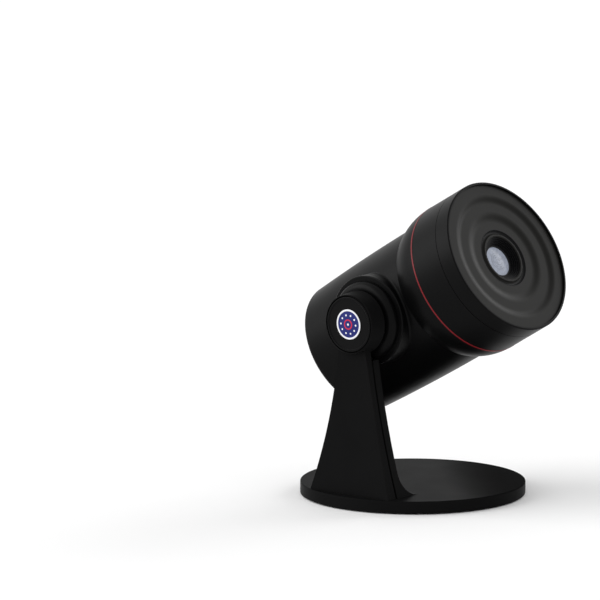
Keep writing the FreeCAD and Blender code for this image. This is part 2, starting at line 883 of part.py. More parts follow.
def hub_boss():
    """The round boss that stands off the barrel's side: a rounded rim in front of a wider collar."""
    outline = Outline(turn_plane, (boss_face_x, 0)).to((boss_face_x, boss_radius - boss_round))
    outline.leave((0, 1), (boss_face_x + boss_round, boss_radius)).to((boss_collar_x, boss_radius))
    outline.to((boss_collar_x, boss_collar_radius - boss_collar_round))
    outline.leave((0, 1), (boss_collar_x + boss_collar_round, boss_collar_radius))
    outline.to((barrel_offset, boss_collar_radius), (barrel_offset, 0))
    return across_barrel(outline.turned())


def where_boss_meets_barrel(point):
    on_boss = abs(math.hypot(point.y, point.z) - boss_collar_radius) < slip_gap
    on_shell = abs(math.hypot(point.x, point.y) - shell_radius_at(point.z)) < slip_gap
    return point.x < 0 and on_boss and on_shell


def rear_screw_places(shape):
    return round_copies(shape, rear_screw_count, rear_post_circle, top_deg)


def stage_screw_places(shape):
    return round_copies(shape, stage_screw_count, stage_post_circle, 180 / stage_screw_count)


def barrel_shell():
    pocket = ring(boss_radius - shell_wall, pivot_hub_radius, boss_face_x + shell_wall, barrel_offset)
    hub = disc(pivot_hub_radius, boss_face_x + boss_round, hub_end_x)
    bore = disc(bushing_radius + running_gap, boss_face_x - cut_over, hub_end_x + cut_over)
    shell = rounded(shell_body().fuse(hub_boss()).removeSplitter(), boss_blend, where_boss_meets_barrel)
    shell = shell.cut(shell_hollow()).cut(across_barrel(pocket))
    shell = shell.fuse(across_barrel(hub)).cut(across_barrel(bore))
    rear_post = disc(rear_post_radius, rear_cover_front_at, rear_cover_front_at + rear_post_length)
    stage_post = disc(stage_post_radius, stage_at - stage_post_length, stage_at)
    for post in rear_screw_places(rear_post) + stage_screw_places(stage_post):
        shell = shell.fuse(post)
    rear_hole = shifted(flipped(pilot(screw_radius, screw_length)), Vector(0, 0, rear_cover_front_at))
    stage_hole = shifted(pilot(small_screw_radius, screw_length), Vector(0, 0, stage_at))
    shell = cut_all(shell, rear_screw_places(rear_hole) + stage_screw_places(stage_hole))
    return on_barrel(shell.removeSplitter())


def red_ring():
    outer = head_radius + red_ring_proud
    return on_barrel(ring(outer, red_ring_inner + running_gap, joint_at, joint_at + red_ring_width))


# Rear end

def stadium(width, height, start, end):
    """A bar with a slot's outline, its long way along X."""
    half = (width - height) / 2
    bar = box((-half, half), (-height / 2, height / 2), (start, end))
    round_end = disc(height / 2, start, end)
    bar = bar.fuse(shifted(round_end, Vector(half, 0, 0))).fuse(shifted(round_end, Vector(-half, 0, 0)))
    return bar.removeSplitter()


def button_places():
    return [Vector(side * button_spread, button_rise, 0) for side in (-1, 1)]


def board_post_places(shape):
    return round_copies(shape, board_screw_count, board_post_circle, board_screw_turn_deg)


def vent_slots():
    """Slots in a ring, left out where a board post stands."""
    slot = box((vent_inner_radius, vent_outer_radius), (-vent_width / 2, vent_width / 2),
               (rear_cover_rear_at - cut_over, rear_cover_front_at + cut_over))
    step = 360 / vent_count
    post_steps = [round((board_screw_turn_deg + 360 / board_screw_count * post) / step)
                  for post in range(board_screw_count)]
    return [spun(slot, step * place) for place in range(vent_count) if place not in post_steps]


def rear_cover():
    through = (rear_cover_rear_at - cut_over, rear_cover_front_at + cut_over)
    cover = disc(rear_opening_radius - rear_cover_gap, rear_cover_rear_at, rear_cover_front_at)
    for post in board_post_places(disc(board_post_radius, rear_cover_rear_at, board_rear_at)):
        cover = cover.fuse(post)
    button_hole = disc(button_radius + loose_gap, *through)
    cover = cut_all(cover, [shifted(button_hole, place) for place in button_places()])
    port = stadium(socket_width + 2 * port_gap, socket_height + 2 * port_gap, *through)
    cover = cover.cut(shifted(port, Vector(0, -socket_drop, 0)))
    cover = cut_all(cover, vent_slots())
    seat = disc(screw_head_radius + slip_gap, through[0], rear_cover_rear_at + screw_head_height)
    hole = disc(screw_radius + slip_gap, *through)
    cover = cut_all(cover, rear_screw_places(seat))
    cover = cut_all(cover, rear_screw_places(hole))
    board_hole = shifted(pilot(small_screw_radius, board_post_length), Vector(0, 0, board_rear_at))
    return on_barrel(cut_all(cover, board_post_places(board_hole)).removeSplitter())


def rear_cover_screws():
    one = shifted(flipped(screw()), Vector(0, 0, rear_cover_rear_at + screw_head_height))
    return on_barrel(group(rear_screw_places(one)))


def rear_button(place):
    """A round button whose flange is held behind the cover."""
    rear = rear_cover_rear_at - button_proud
    flange_rear = rear_cover_front_at + slip_gap
    outline = Outline(turn_plane, (rear, 0)).to((rear, button_radius - button_edge_round))
    outline.leave((0, 1), (rear + button_edge_round, button_radius)).to((flange_rear, button_radius))
    flange_radius = button_radius + button_flange
    outline.to((flange_rear, flange_radius), (button_front_at, flange_radius), (button_front_at, 0))
    return on_barrel(shifted(outline.turned(), place))


def power_button():
    return rear_button(button_places()[0])


def rotation_button():
    return rear_button(button_places()[1])


def control_board():
    board = disc(board_radius, board_rear_at, board_front_at)
    hole = disc(small_screw_radius + slip_gap, board_rear_at - cut_over, board_front_at + cut_over)
    return on_barrel(cut_all(board, board_post_places(hole)))


def board_screws():
    return on_barrel(group(board_post_places(shifted(small_screw(), Vector(0, 0, board_front_at)))))


def tact_switches():
    half = switch_side / 2
    tip = button_front_at + button_travel + slip_gap
    body = box((-half, half), (-half, half), (board_rear_at - switch_height, board_rear_at))
    switch = body.fuse(disc(switch_plunger_radius, tip, board_rear_at)).removeSplitter()
    return on_barrel(group([shifted(switch, place) for place in button_places()]))


def usb_socket():
    mouth = rear_cover_rear_at + socket_setback
    inner_width = socket_width - 2 * socket_wall
    inner_height = socket_height - 2 * socket_wall
    shell = stadium(socket_width, socket_height, mouth, board_rear_at)
    hollow = stadium(inner_width, inner_height, mouth - cut_over, board_rear_at - socket_wall)
    tongue = stadium(inner_width * socket_tongue_width_share, inner_height * socket_tongue_height_share,
                     mouth + socket_tongue_setback, board_rear_at)
    return on_barrel(shifted(shell.cut(hollow).fuse(tongue).removeSplitter(), Vector(0, -socket_drop, 0)))


def board_parts():
    """The chip and the capacitors on the board's front."""
    half = chip_side / 2
    chip = box((-half, half), (-half, half), (board_front_at, board_front_at + chip_height))
    capacitor = disc(capacitor_radius, board_front_at, board_front_at + capacitor_height)
    spread = Vector(board_part_spread, -board_part_spread, 0)
    mirrored = Vector(-board_part_spread, -board_part_spread, 0)
    return on_barrel(group([chip, shifted(capacitor, spread), shifted(capacitor, mirrored)]))


# Light engine

def lamp_screw_places(shape):
    return round_copies(shape, lamp_screw_count, lamp_screw_circle, top_deg)


def lamp_housing():
    outer = lamp_bore + lamp_wall
    flange_front = lamp_rear_at + lamp_flange_thickness
    front_flange_rear = stage_at - lamp_flange_thickness
    lip_rear = stage_at - lamp_lip_thickness
    outline = Outline(turn_plane, (lamp_rear_at, lamp_bore)).to((lamp_rear_at, lamp_flange_radius))
    outline.to((flange_front, lamp_flange_radius), (flange_front, outer), (front_flange_rear, outer))
    outline.to((front_flange_rear, lamp_front_flange_radius), (stage_at, lamp_front_flange_radius))
    outline.to((stage_at, lamp_bore - lamp_lip), (lip_rear, lamp_bore - lamp_lip), (lip_rear, lamp_bore))
    hole = disc(small_screw_radius + slip_gap, lamp_rear_at - cut_over, stage_at + cut_over)
    return on_barrel(cut_all(outline.turned(), lamp_screw_places(hole)))


def lamp_screws():
    """One set holds the heat sink to the housing, the other the housing to the film stage."""
    rear = shifted(small_screw(), Vector(0, 0, lamp_rear_at + lamp_flange_thickness))
    front = shifted(flipped(small_screw()), Vector(0, 0, stage_at - lamp_flange_thickness))
    return on_barrel(group(lamp_screw_places(rear) + lamp_screw_places(front)))


def lens(radius, rim, rear, front, rear_dome, front_dome):
    """A lens with a flat rim on both sides of its edge and a dome on each face."""
    clear = radius - rim
    outline = Outline(turn_plane, (rear - rear_dome, 0))
    if rear_dome:
        outline.leave((0, 1), (rear, clear))
    outline.to((rear, radius), (front, radius), (front, clear))
    if front_dome:
        outline.arrive((0, -1), (front + front_dome, 0))
    return on_barrel(outline.turned())


def condenser_lens_front():
    rim = condenser_ring_wall + slip_gap
    rear = condenser_front_at - lens_edge
    return lens(lamp_bore - slip_gap, rim, rear, condenser_front_at, condenser_dome, 0)


def condenser_lens_rear():
    rim = condenser_ring_wall + slip_gap
    front = condenser_rear_at + lens_edge
    return lens(lamp_bore - slip_gap, rim, condenser_rear_at, front, 0, condenser_dome)


def condenser_rings():
    """The spacer between the two condenser lenses and the ring that holds them."""
    outer = lamp_bore - slip_gap
    inner = outer - condenser_ring_wall
    spacer = ring(outer, inner, condenser_rear_at + lens_edge, condenser_front_at - lens_edge)
    retainer = ring(outer, inner, condenser_rear_at - condenser_ring_length, condenser_rear_at)
    return on_barrel(group([spacer, retainer]))


def heat_sink():
    base_rear = heat_sink_front_at - heat_sink_base
    fin_rear = heat_sink_rear_at
    base = disc(lamp_flange_radius, base_rear, heat_sink_front_at)
    body = disc(lamp_flange_radius, fin_rear, base_rear)
    pitch = 2 * lamp_flange_radius / fin_count
    side = (-lamp_flange_radius, lamp_flange_radius)
    gaps = []
    for gap in range(fin_count + 1):
        start = -lamp_flange_radius + pitch * (gap - 0.5) + fin_thickness / 2
        gaps.append(box((start, start + pitch - fin_thickness), side, (fin_rear - cut_over, base_rear)))
    fins = cut_all(body, gaps)
    hole = shifted(pilot(small_screw_radius, heat_sink_base), Vector(0, 0, heat_sink_front_at))
    return on_barrel(cut_all(base.fuse(fins).removeSplitter(), lamp_screw_places(hole)))


def light_board():
    front = heat_sink_front_at + light_board_thickness
    return on_barrel(disc(light_board_radius, heat_sink_front_at, front))


def light_emitter():
    board_face = heat_sink_front_at + light_board_thickness
    half = emitter_side / 2
    base = box((-half, half), (-half, half), (board_face, board_face + emitter_base))
    outline = Outline(turn_plane, (board_face, 0)).to((board_face, emitter_dome_radius))
    outline.to((board_face + emitter_base, emitter_dome_radius))
    outline.leave((1, 0), (board_face + emitter_base + emitter_dome_radius, 0))
    return on_barrel(base.fuse(outline.turned()).removeSplitter())


# Film drive

def at_motor(shape):
    """Moves a shape from the barrel's axis to the motor's, below it."""
    return shifted(shape, Vector(0, -pinion_distance, 0))


def motor_screw_places(shape):
    return [at_motor(shifted(shape, Vector(side * motor_screw_spread, 0, 0))) for side in (-1, 1)]


def film_stage():
    through = (stage_at - cut_over, stage_front_at + cut_over)
    collar = disc(collar_radius, stage_at, collar_front_at)
    stage = disc(neck_bore - loose_gap, stage_at, stage_front_at).fuse(collar)
    stage = stage.cut(disc(collar_radius - collar_wall, stage_front_at, collar_front_at + cut_over))
    stage = stage.cut(disc(stage_window_radius, *through))
    stage = stage.cut(at_motor(disc(motor_shaft_radius + loose_gap, *through)))
    stage = cut_all(stage, motor_screw_places(disc(motor_screw_radius + slip_gap, *through)))
    stage = cut_all(stage, stage_screw_places(disc(small_screw_radius + slip_gap, *through)))
    lamp_hole = disc(small_screw_radius + running_gap, stage_at - cut_over, stage_front_at - running_gap)
    return on_barrel(cut_all(stage, lamp_screw_places(lamp_hole)).removeSplitter())


def stage_screws():
    one = shifted(small_screw(screw_length), Vector(0, 0, stage_front_at))
    return on_barrel(group(stage_screw_places(one)))


def motor_gearbox():
    half = motor_width / 2
    rear = stage_at - gearbox_length
    block = box((-half, half), (-motor_depth / 2, motor_depth / 2), (rear, stage_at))
    block = block.cut(disc(motor_shaft_radius + running_gap, rear + motor_tail, stage_at + cut_over))
    hole = shifted(pilot(motor_screw_radius, gearbox_length / 2), Vector(0, 0, stage_at))
    holes = [shifted(hole, Vector(side * motor_screw_spread, 0, 0)) for side in (-1, 1)]
    return on_barrel(at_motor(cut_all(block, holes)))


def motor_can():
    """A round can with two flats, and the boss of its rear bearing."""
    front = stage_at - gearbox_length
    rear = front - motor_can_length
    side = motor_width / 2
    flats = box((-side, side), (-motor_depth / 2, motor_depth / 2), (rear, front))
    can = disc(side, rear, front).common(flats)
    return on_barrel(at_motor(can.fuse(disc(motor_tail_radius, rear - motor_tail, rear)).removeSplitter()))


def motor_screws():
    one = screw(motor_screw_radius, stage_thickness + gearbox_length / 3, 2 * motor_screw_radius)
    return on_barrel(group(motor_screw_places(shifted(one, Vector(0, 0, stage_front_at)))))


def motor_shaft():
    start = stage_at - gearbox_length + motor_tail + slip_gap
    return on_barrel(at_motor(disc(motor_shaft_radius, start, gear_front_at + slip_gap)))


def gear_face(teeth, first_deg):
    """A spur gear's outline with involute flanks, and a tooth centred on the first angle."""
    pitch = gear_module * teeth / 2
    pressure = math.radians(pressure_angle_deg)
    base = pitch * math.cos(pressure)
    root = pitch - gear_module * root_share
    tip = pitch + gear_module * tip_share
    half_tooth = math.pi / (2 * teeth) - tooth_backlash / (2 * pitch)

    def lean(radius):
        """Half the tooth's angle at a radius."""
        angle = math.acos(min(1, base / radius))
        return half_tooth + math.tan(pressure) - pressure - (math.tan(angle) - angle)

    lowest = max(base, root)
    flank = [root] + [lowest + (tip - lowest) * share for share in (0, 0.5, 1)]
    corners = []
    for tooth in range(teeth):
        centre = math.radians(first_deg) + 2 * math.pi * tooth / teeth
        rising = [(radius, centre - lean(radius)) for radius in flank]
        falling = [(radius, centre + lean(radius)) for radius in reversed(flank)]
        corners += rising + falling
    points = [(radius * math.cos(angle), radius * math.sin(angle)) for radius, angle in corners]
    kept = [point for point, after in zip(points, points[1:] + points[:1]) if math.dist(point, after) > 0]
    return Outline(plan_plane, kept[0]).to(*kept[1:]).face()


def toothed(teeth, first_deg):
    wheel = gear_face(teeth, first_deg).extrude(Vector(0, 0, gear_width))
    return shifted(wheel, Vector(0, 0, gear_rear_at))


def film_gear():
    """The ring gear that holds the film; a gap between its teeth faces the pinion below."""
    flange_rear = gear_flange_front_at - gear_flange_thickness
    wheel = toothed(film_gear_teeth, -top_deg + 180 / film_gear_teeth)
    wheel = wheel.cut(disc(collar_radius + running_gap, gear_rear_at - cut_over, flange_rear))
    wheel = wheel.cut(disc(gear_flange_radius, gear_rear_at, gear_front_at))
    seat = disc(film_radius + running_gap, gear_flange_front_at, gear_front_at + cut_over)
    return on_barrel(wheel.cut(seat))


def motor_pinion():
    wheel = toothed(pinion_teeth, top_deg)
    bore = disc(motor_shaft_radius + running_gap, gear_rear_at - cut_over, gear_front_at + cut_over)
    return on_barrel(at_motor(wheel.cut(bore)))


def film_holder():
    start = gear_flange_front_at + running_gap
    return on_barrel(ring(film_radius, film_radius - film_rim, start, start + film_thickness))


def film_picture():
    middle = gear_flange_front_at + running_gap + film_thickness / 2
    half = film_picture_thickness / 2
    return on_barrel(disc(film_radius - film_rim - running_gap, middle - half, middle + half))


# Head

def head_sleeve():
    """The head's outer wall, with a web inside and the spigot that pushes into the barrel."""
    spigot_rear = head_rear_at - spigot_length
    spigot_inner = spigot_radius - spigot_wall
    groove_front = head_rear_at - seal_setback
    groove_rear = groove_front - 2 * (seal_radius + slip_gap)
    groove_radius = seal_circle - seal_radius - running_gap
    web_front = head_rear_at + head_web
    seam = bezel_rear_at - bezel_seam
    outline = Outline(turn_plane, (spigot_rear, spigot_inner)).to((spigot_rear, spigot_radius - loose_gap))
    outline.to((spigot_rear + loose_gap, spigot_radius), (groove_rear, spigot_radius))
    outline.to((groove_rear, groove_radius), (groove_front, groove_radius), (groove_front, spigot_radius))
    outline.to((head_rear_at, spigot_radius), (head_rear_at, head_radius), (seam, head_radius))
    outline.to((seam, sleeve_bore), (web_front, sleeve_bore), (web_front, web_opening))
    outline.to((head_rear_at, web_opening), (head_rear_at, spigot_inner))
    hole = shifted(pilot(small_screw_radius, head_web - running_gap), Vector(0, 0, web_front))
    return on_barrel(cut_all(outline.turned(), guide_screw_places(hole)))


def head_seal():
    place = head_rear_at - seal_setback - seal_radius - slip_gap
    return on_barrel(Part.makeTorus(seal_circle, seal_radius, Vector(0, 0, place)))


def guide_screw_places(shape):
    return round_copies(shape, guide_screw_count, guide_screw_circle, front_screw_deg)


def lens_guide():
    """The tube that the lens tube slides in, with keyways that keep it from turning."""
    tail = guide_flange_at - guide_tail
    groove_rear = cam_step_at + slip_gap - running_gap
    groove_front = cam_step_at + slip_gap + clip_thickness + running_gap
    groove_radius = guide_radius - clip_groove_depth
    outline = Outline(turn_plane, (tail, guide_bore)).to((tail, guide_radius))
    outline.to((guide_flange_at, guide_radius), (guide_flange_at, guide_flange_radius))
    outline.to((guide_flange_front_at, guide_flange_radius), (guide_flange_front_at, guide_radius))
    outline.to((groove_rear, guide_radius), (groove_rear, groove_radius), (groove_front, groove_radius))
    outline.to((groove_front, guide_radius), (guide_front_at, guide_radius), (guide_front_at, guide_bore))
    half = cam_pin_radius + slip_gap
    rear = cam_pin_at - focus_travel - half
    keyway = box((0, cam_radius), (-half, half), (rear, cam_pin_at + half))
    guide = cut_all(outline.turned(), [spun(keyway, angle) for angle in cam_pin_angles()])
    hole = disc(small_screw_radius + slip_gap, guide_flange_at - cut_over, guide_flange_front_at + cut_over)
    return on_barrel(cut_all(guide, guide_screw_places(hole)))


def guide_screws():
    return on_barrel(group(guide_screw_places(shifted(small_screw(), Vector(0, 0, guide_flange_front_at)))))


def front_bezel():
    """The ring round the front plate, with a collar that turns inside the sleeve."""
    collar_rear = bezel_rear_at - bezel_collar_length
    collar_radius_out = sleeve_bore - loose_gap
    inner = plate_radius - bezel_ledge
    seat = plate_front_at - plate_edge_thickness
    lip = head_radius - rim_lip
    outline = Outline(turn_plane, (collar_rear, inner)).to((collar_rear, collar_radius_out))
    outline.to((bezel_rear_at, collar_radius_out), (bezel_rear_at, head_radius))
    outline.to((rim_at - rim_round, head_radius)).leave((1, 0), (rim_at, head_radius - rim_round))
    outline.to((rim_at, lip), (seat, lip), (seat, inner))
    return on_barrel(outline.turned())


def front_plate():
    """The rippled front plate, stepping down to the throat in front of the lens."""
    span = plate_radius - collar_groove_radius
    first, second, third, fourth = [collar_groove_radius + span * share for share in ripple_radius_shares]
    edge_back = plate_front_at - plate_edge_thickness
    collar_at = dish_at + throat_collar_rise
    bevel_at = collar_at - throat_bevel
    groove_inner = collar_groove_radius - collar_groove_width
    groove_middle = collar_groove_radius - collar_groove_width / 2
    groove_at = dish_at - collar_groove_depth
    outline = Outline(turn_plane, (plate_back_at, throat_bottom_radius))
    outline.to((plate_back_at, plate_back_radius), (edge_back, first), (edge_back, plate_radius))
    outline.to((plate_front_at, plate_radius), (plate_front_at, first))
    outline.ease((0, -1), (terrace_at, second)).to((terrace_at, third))
    outline.ease((0, -1), (dish_at, fourth)).to((dish_at, collar_groove_radius))
    outline.through((groove_at, groove_middle), (collar_at - throat_collar_round, groove_inner))
    outline.leave((1, 0), (collar_at, groove_inner - throat_collar_round))
    outline.to((collar_at, throat_mouth_radius + throat_bevel_width), (bevel_at, throat_mouth_radius))
    depth = (bevel_at - throat_bottom_at) / throat_steps
    width = (throat_mouth_radius - throat_bottom_radius) / throat_steps
    for step in range(throat_steps):
        along = bevel_at - depth * (step + 1)
        radius = throat_mouth_radius - width * step
        outline.to((along, radius), (along, radius - width))
    plate = outline.turned()
    hole = shifted(flipped(pilot(small_screw_radius, cam_screw_bite)), Vector(0, 0, plate_back_at))
    return on_barrel(cut_all(plate, cam_screw_places(hole)))


# Focus cam and lens tube

def cam_pin_angles():
    return [top_deg + 360 / cam_pin_count * pin for pin in range(cam_pin_count)]


def cam_screw_places(shape):
    return round_copies(shape, cam_screw_count, cam_screw_circle, front_screw_deg)


def cam_slot():
    """The helical slot that draws a pin back as the bezel turns, for a pin at angle zero."""
    pitch = focus_travel * 360 / focus_turn_deg
    half = cam_pin_radius + cam_slot_gap
    middle = (cam_bore + cam_radius) / 2
    spare_deg = math.degrees(half / middle)
    rise = pitch * (focus_turn_deg + 2 * spare_deg) / 360
    path = Part.makeHelix(pitch, rise, middle)
    outline = Outline(front_plane, (middle - cam_wall, -half)).to((middle + cam_wall, -half))
    outline.to((middle + cam_wall, half), (middle - cam_wall, half)).to((middle - cam_wall, -half))
    slot = Part.Wire(path).makePipeShell([Part.Wire(outline.edges)], True, True)
    start = cam_pin_at - focus_travel - pitch * spare_deg / 360
    return shifted(spun(slot, -focus_turn_deg - spare_deg), Vector(0, 0, start))


def focus_cam():
    """The sleeve that turns with the bezel on the guide and drives the cam pins."""
    rear = guide_flange_front_at + slip_gap
    flange_rear = plate_back_at - cam_flange_thickness
    stepped = cam_bore + cam_step
    outline = Outline(turn_plane, (rear, cam_bore)).to((rear, cam_radius))
    outline.to((cam_step_at - cam_step, cam_radius), (cam_step_at, cam_radius + cam_step))
    outline.to((flange_rear, cam_radius + cam_step), (flange_rear, cam_flange_radius))
    outline.to((plate_back_at, cam_flange_radius), (plate_back_at, stepped))
    outline.to((cam_step_at, stepped), (cam_step_at, cam_bore))
    cam = cut_all(outline.turned(), [spun(cam_slot(), angle) for angle in cam_pin_angles()])
    hole = disc(small_screw_radius + slip_gap, flange_rear - cut_over, plate_back_at + cut_over)
    return on_barrel(cut_all(cam, cam_screw_places(hole)))


def cam_screws():
    one = small_screw(cam_flange_thickness + cam_screw_bite - slip_gap)
    one = shifted(flipped(one), Vector(0, 0, plate_back_at - cam_flange_thickness))
    return on_barrel(group(cam_screw_places(one)))


def focus_clip():
    """An open ring that keeps the cam on the guide."""
    start = cam_step_at + slip_gap
    end = start + clip_thickness
    clip = ring(guide_radius + clip_reach, guide_radius - clip_groove_depth + running_gap, start, end)
    half = guide_radius * clip_mouth_share
    mouth = box((0, 2 * guide_radius), (-half, half), (start - cut_over, end + cut_over))
    return on_barrel(clip.cut(mouth))


def lens_tube():
    bore = lens_tube_radius - lens_tube_wall
    lip_rear = lens_tube_front_at - lens_lip_thickness
    seat_rear = lip_rear - front_lens_edge
    seat_radius = front_lens_radius + slip_gap
    outline = Outline(turn_plane, (lens_tube_rear_at, bore)).to((lens_tube_rear_at, lens_tube_radius))
    outline.to((lens_tube_front_at, lens_tube_radius), (lens_tube_front_at, lens_lip_radius))
    outline.to((lip_rear, lens_lip_radius), (lip_rear, seat_radius))
    outline.to((seat_rear, seat_radius), (seat_rear, bore))
    hole = radial_bar(cam_pin_radius + running_gap, 0, cam_radius, cam_pin_at)
    return on_barrel(cut_all(outline.turned(), [spun(hole, angle) for angle in cam_pin_angles()]))


def radial_bar(radius, start, end, along):
    return Part.makeCylinder(radius, end - start, Vector(start, 0, along), Vector(1, 0, 0))


def cam_pins():
    start = lens_tube_radius - lens_tube_wall + slip_gap
    pin = radial_bar(cam_pin_radius, start, cam_radius - cam_pin_inset, cam_pin_at)
    return on_barrel(group([spun(pin, angle) for angle in cam_pin_angles()]))


def front_lens():
    front = lens_tube_front_at - lens_lip_thickness
    rim = front_lens_radius - lens_lip_radius + slip_gap
    return lens(front_lens_radius, rim, front - front_lens_edge, front, 0, front_lens_dome)


def tube_lens(rear):
    rim = spacer_wall + slip_gap
    return lens(tube_lens_radius, rim, rear, rear + rear_lens_edge, lens_dome, lens_dome)


def middle_lens():
    return tube_lens(middle_lens_at)


def rear_lens():
    return tube_lens(rear_lens_at)


def tube_ring(start, end):
    return ring(tube_lens_radius, tube_lens_radius - spacer_wall, start, end)


def lens_spacers():
    front = tube_ring(middle_lens_at + rear_lens_edge, front_lens_rear_at)
    return on_barrel(group([front, tube_ring(rear_lens_at + rear_lens_edge, middle_lens_at)]))


def lens_retainer():
    return on_barrel(tube_ring(rear_lens_at - retainer_length, rear_lens_at))


PIECES = (
    stand_frame, arm_cover, arm_screws, base_weight, base_bottom_plate, base_screws, foot_pad,
    pivot_cap, pivot_badge, pivot_bolt, spring_washer, friction_washer, flat_washer, pivot_nut,
    barrel_shell, pivot_bushing, red_ring, rear_cover, rear_cover_screws, power_button, rotation_button,
    control_board, board_screws, board_parts, tact_switches, usb_socket,
    lamp_housing, lamp_screws, condenser_lens_front, condenser_lens_rear, condenser_rings,
    heat_sink, light_board, light_emitter, film_stage, stage_screws, motor_gearbox, motor_can, motor_screws,
    motor_shaft, motor_pinion, film_gear, film_holder, film_picture,
    head_sleeve, head_seal, lens_guide, guide_screws, front_bezel, front_plate, focus_cam, cam_screws,
    focus_clip, lens_tube, cam_pins, front_lens, middle_lens, rear_lens, lens_spacers,
    lens_retainer,
)


def main():
    os.makedirs("parts", exist_ok=True)
    for piece in PIECES:
        piece().exportStep("parts/" + piece.__name__ + ".step")


main()
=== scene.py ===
"""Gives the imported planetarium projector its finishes, its badge and a small photo studio."""

import json
import math

import bmesh
import bpy
from bpy.props import FloatProperty, FloatVectorProperty, IntProperty, PointerProperty
from mathutils import Matrix, Vector

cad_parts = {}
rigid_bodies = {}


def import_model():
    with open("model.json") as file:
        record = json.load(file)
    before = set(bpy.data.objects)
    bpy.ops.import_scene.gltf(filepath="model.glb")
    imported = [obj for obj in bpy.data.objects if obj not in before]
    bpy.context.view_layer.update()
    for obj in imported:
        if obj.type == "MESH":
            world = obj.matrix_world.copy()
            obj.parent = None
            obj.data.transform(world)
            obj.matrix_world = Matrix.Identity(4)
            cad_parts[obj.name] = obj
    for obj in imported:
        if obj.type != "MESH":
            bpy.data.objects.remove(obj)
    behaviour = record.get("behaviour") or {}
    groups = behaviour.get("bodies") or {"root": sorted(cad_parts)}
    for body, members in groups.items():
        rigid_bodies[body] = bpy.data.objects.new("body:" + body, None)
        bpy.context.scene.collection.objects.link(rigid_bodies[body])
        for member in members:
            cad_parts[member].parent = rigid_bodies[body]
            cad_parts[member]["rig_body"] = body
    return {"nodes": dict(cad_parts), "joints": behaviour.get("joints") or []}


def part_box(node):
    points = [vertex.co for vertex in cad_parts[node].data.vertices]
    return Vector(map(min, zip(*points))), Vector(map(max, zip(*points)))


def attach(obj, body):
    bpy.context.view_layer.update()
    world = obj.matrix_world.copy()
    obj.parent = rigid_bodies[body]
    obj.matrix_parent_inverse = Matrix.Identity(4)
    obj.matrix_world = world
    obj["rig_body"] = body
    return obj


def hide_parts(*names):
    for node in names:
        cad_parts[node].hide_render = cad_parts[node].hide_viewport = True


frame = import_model()
# The objects that a new file starts with aren't part of the scene
for leftover in ("Cube", "Light", "Camera"):
    if leftover in bpy.data.objects:
        bpy.data.objects.remove(bpy.data.objects[leftover])
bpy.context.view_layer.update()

bl_info = {
    "name": "Planetarium projector finishes",
    "version": (1, 0, 0),
    "blender": (4, 5, 0),
    "location": "3D View > Sidebar > Projector",
    "description": "Dresses the packed projector and sets up its studio",
    "category": "Object",
}

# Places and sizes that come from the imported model
hub = next(j for j in frame["joints"] if j["name"] == "barrel_tilt")
slide = next(j for j in frame["joints"] if j["name"] == "head_lift")
hub_point = Vector(hub["pos_m"])
barrel_axis = Vector(slide["axis"]).normalized()
lens_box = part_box("front_lens")
lens_centre = (lens_box[0] + lens_box[1]) / 2
badge_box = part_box("pivot_badge")
badge_centre = (badge_box[0] + badge_box[1]) / 2
badge_radius = (badge_box[1].z - badge_box[0].z) / 2
skin_over_weight = 0.002
weight_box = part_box("base_weight")
base_top = weight_box[1].z + skin_over_weight
base_reach = weight_box[1].x
plate_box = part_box("front_plate")
front_radius = (plate_box[1].x - plate_box[0].x) / 2
throat_radius = front_radius * 0.294
groove_radius = front_radius * 0.375
groove_width = front_radius * 0.045
turning_pitch = front_radius * 0.015

MERGE_DISTANCE = 0.000001
PIVOT_AXIS = (1, 0, 0)


def colour(name, about, value):
    """A colour that the user may change."""
    return FloatVectorProperty(
        name=name, description=about, subtype="COLOR", size=3, min=0, max=1, default=value
    )


def share(name, about, value):
    """A number from 0 to 1 that the user may change."""
    return FloatProperty(
        name=name, description=about, subtype="FACTOR", min=0, max=1, default=value
    )


def length(name, about, value):
    """A length in metres that the user may change."""
    return FloatProperty(
        name=name, description=about, subtype="DISTANCE", unit="LENGTH", default=value
    )


def angle(name, about, degrees):
    """An angle that the user may change."""
    return FloatProperty(
        name=name,
        description=about,
        subtype="ANGLE",
        unit="ROTATION",
        default=math.radians(degrees),
    )


def direction(name, about, value):
    """A direction in the camera's view that the user may change."""
    return FloatVectorProperty(
        name=name, description=about, subtype="DIRECTION", size=3, default=value
    )


class PlasticSettings(bpy.types.PropertyGroup):
    """Colours and textures of the moulded plastic and rubber."""

    shell_colour: colour("Shell", "Black of the barrel, head and cover", (0.0015, 0.0015, 0.0016))
    stand_colour: colour("Stand", "Black of the base and arm", (0.0064, 0.0064, 0.0065))
    front_colour: colour("Front plate", "Warm grey of the rippled plate", (0.0084, 0.0082, 0.0074))
    trim_colour: colour("Ring", "Red of the ring behind the head", (0.17, 0.006, 0.010))
    button_colour: colour("Buttons", "Grey of the two push buttons", (0.055, 0.056, 0.060))
    inner_colour: colour("Inner parts", "Black of the parts inside", (0.012, 0.012, 0.012))
    nylon_colour: colour("Nylon", "White of the gears and washer", (0.72, 0.71, 0.66))
    rubber_colour: colour("Rubber", "Black of the pad and seal", (0.010, 0.010, 0.010))
    # This black also paints the shade in the hollow ring round the collar of the front plate.
    throat_black_and_groove_shade: colour("Throat", "Black of the steps round the lens", (0.0040, 0.0040, 0.0044))
    shell_roughness: share("Shell roughness", "How matt the black plastic is", 0.38)
    front_roughness: share("Front roughness", "How matt the front plate is", 0.42)
    front_gloss: share("Front gloss", "How much light the front plate mirrors", 0.080)
    shell_gloss: share("Shell gloss", "How much light the black plastic mirrors", 0.066)
    stand_gloss: share("Stand gloss", "How much light the stand mirrors", 0.008)
    grain_size: length("Grain size", "Width of the grains of the moulded skin", 0.00045)
    grain_depth: length("Grain depth", "Depth of the moulded skin", 0.000012)
    patch_size: length("Patch size", "Width of the soft uneven patches", 0.022)


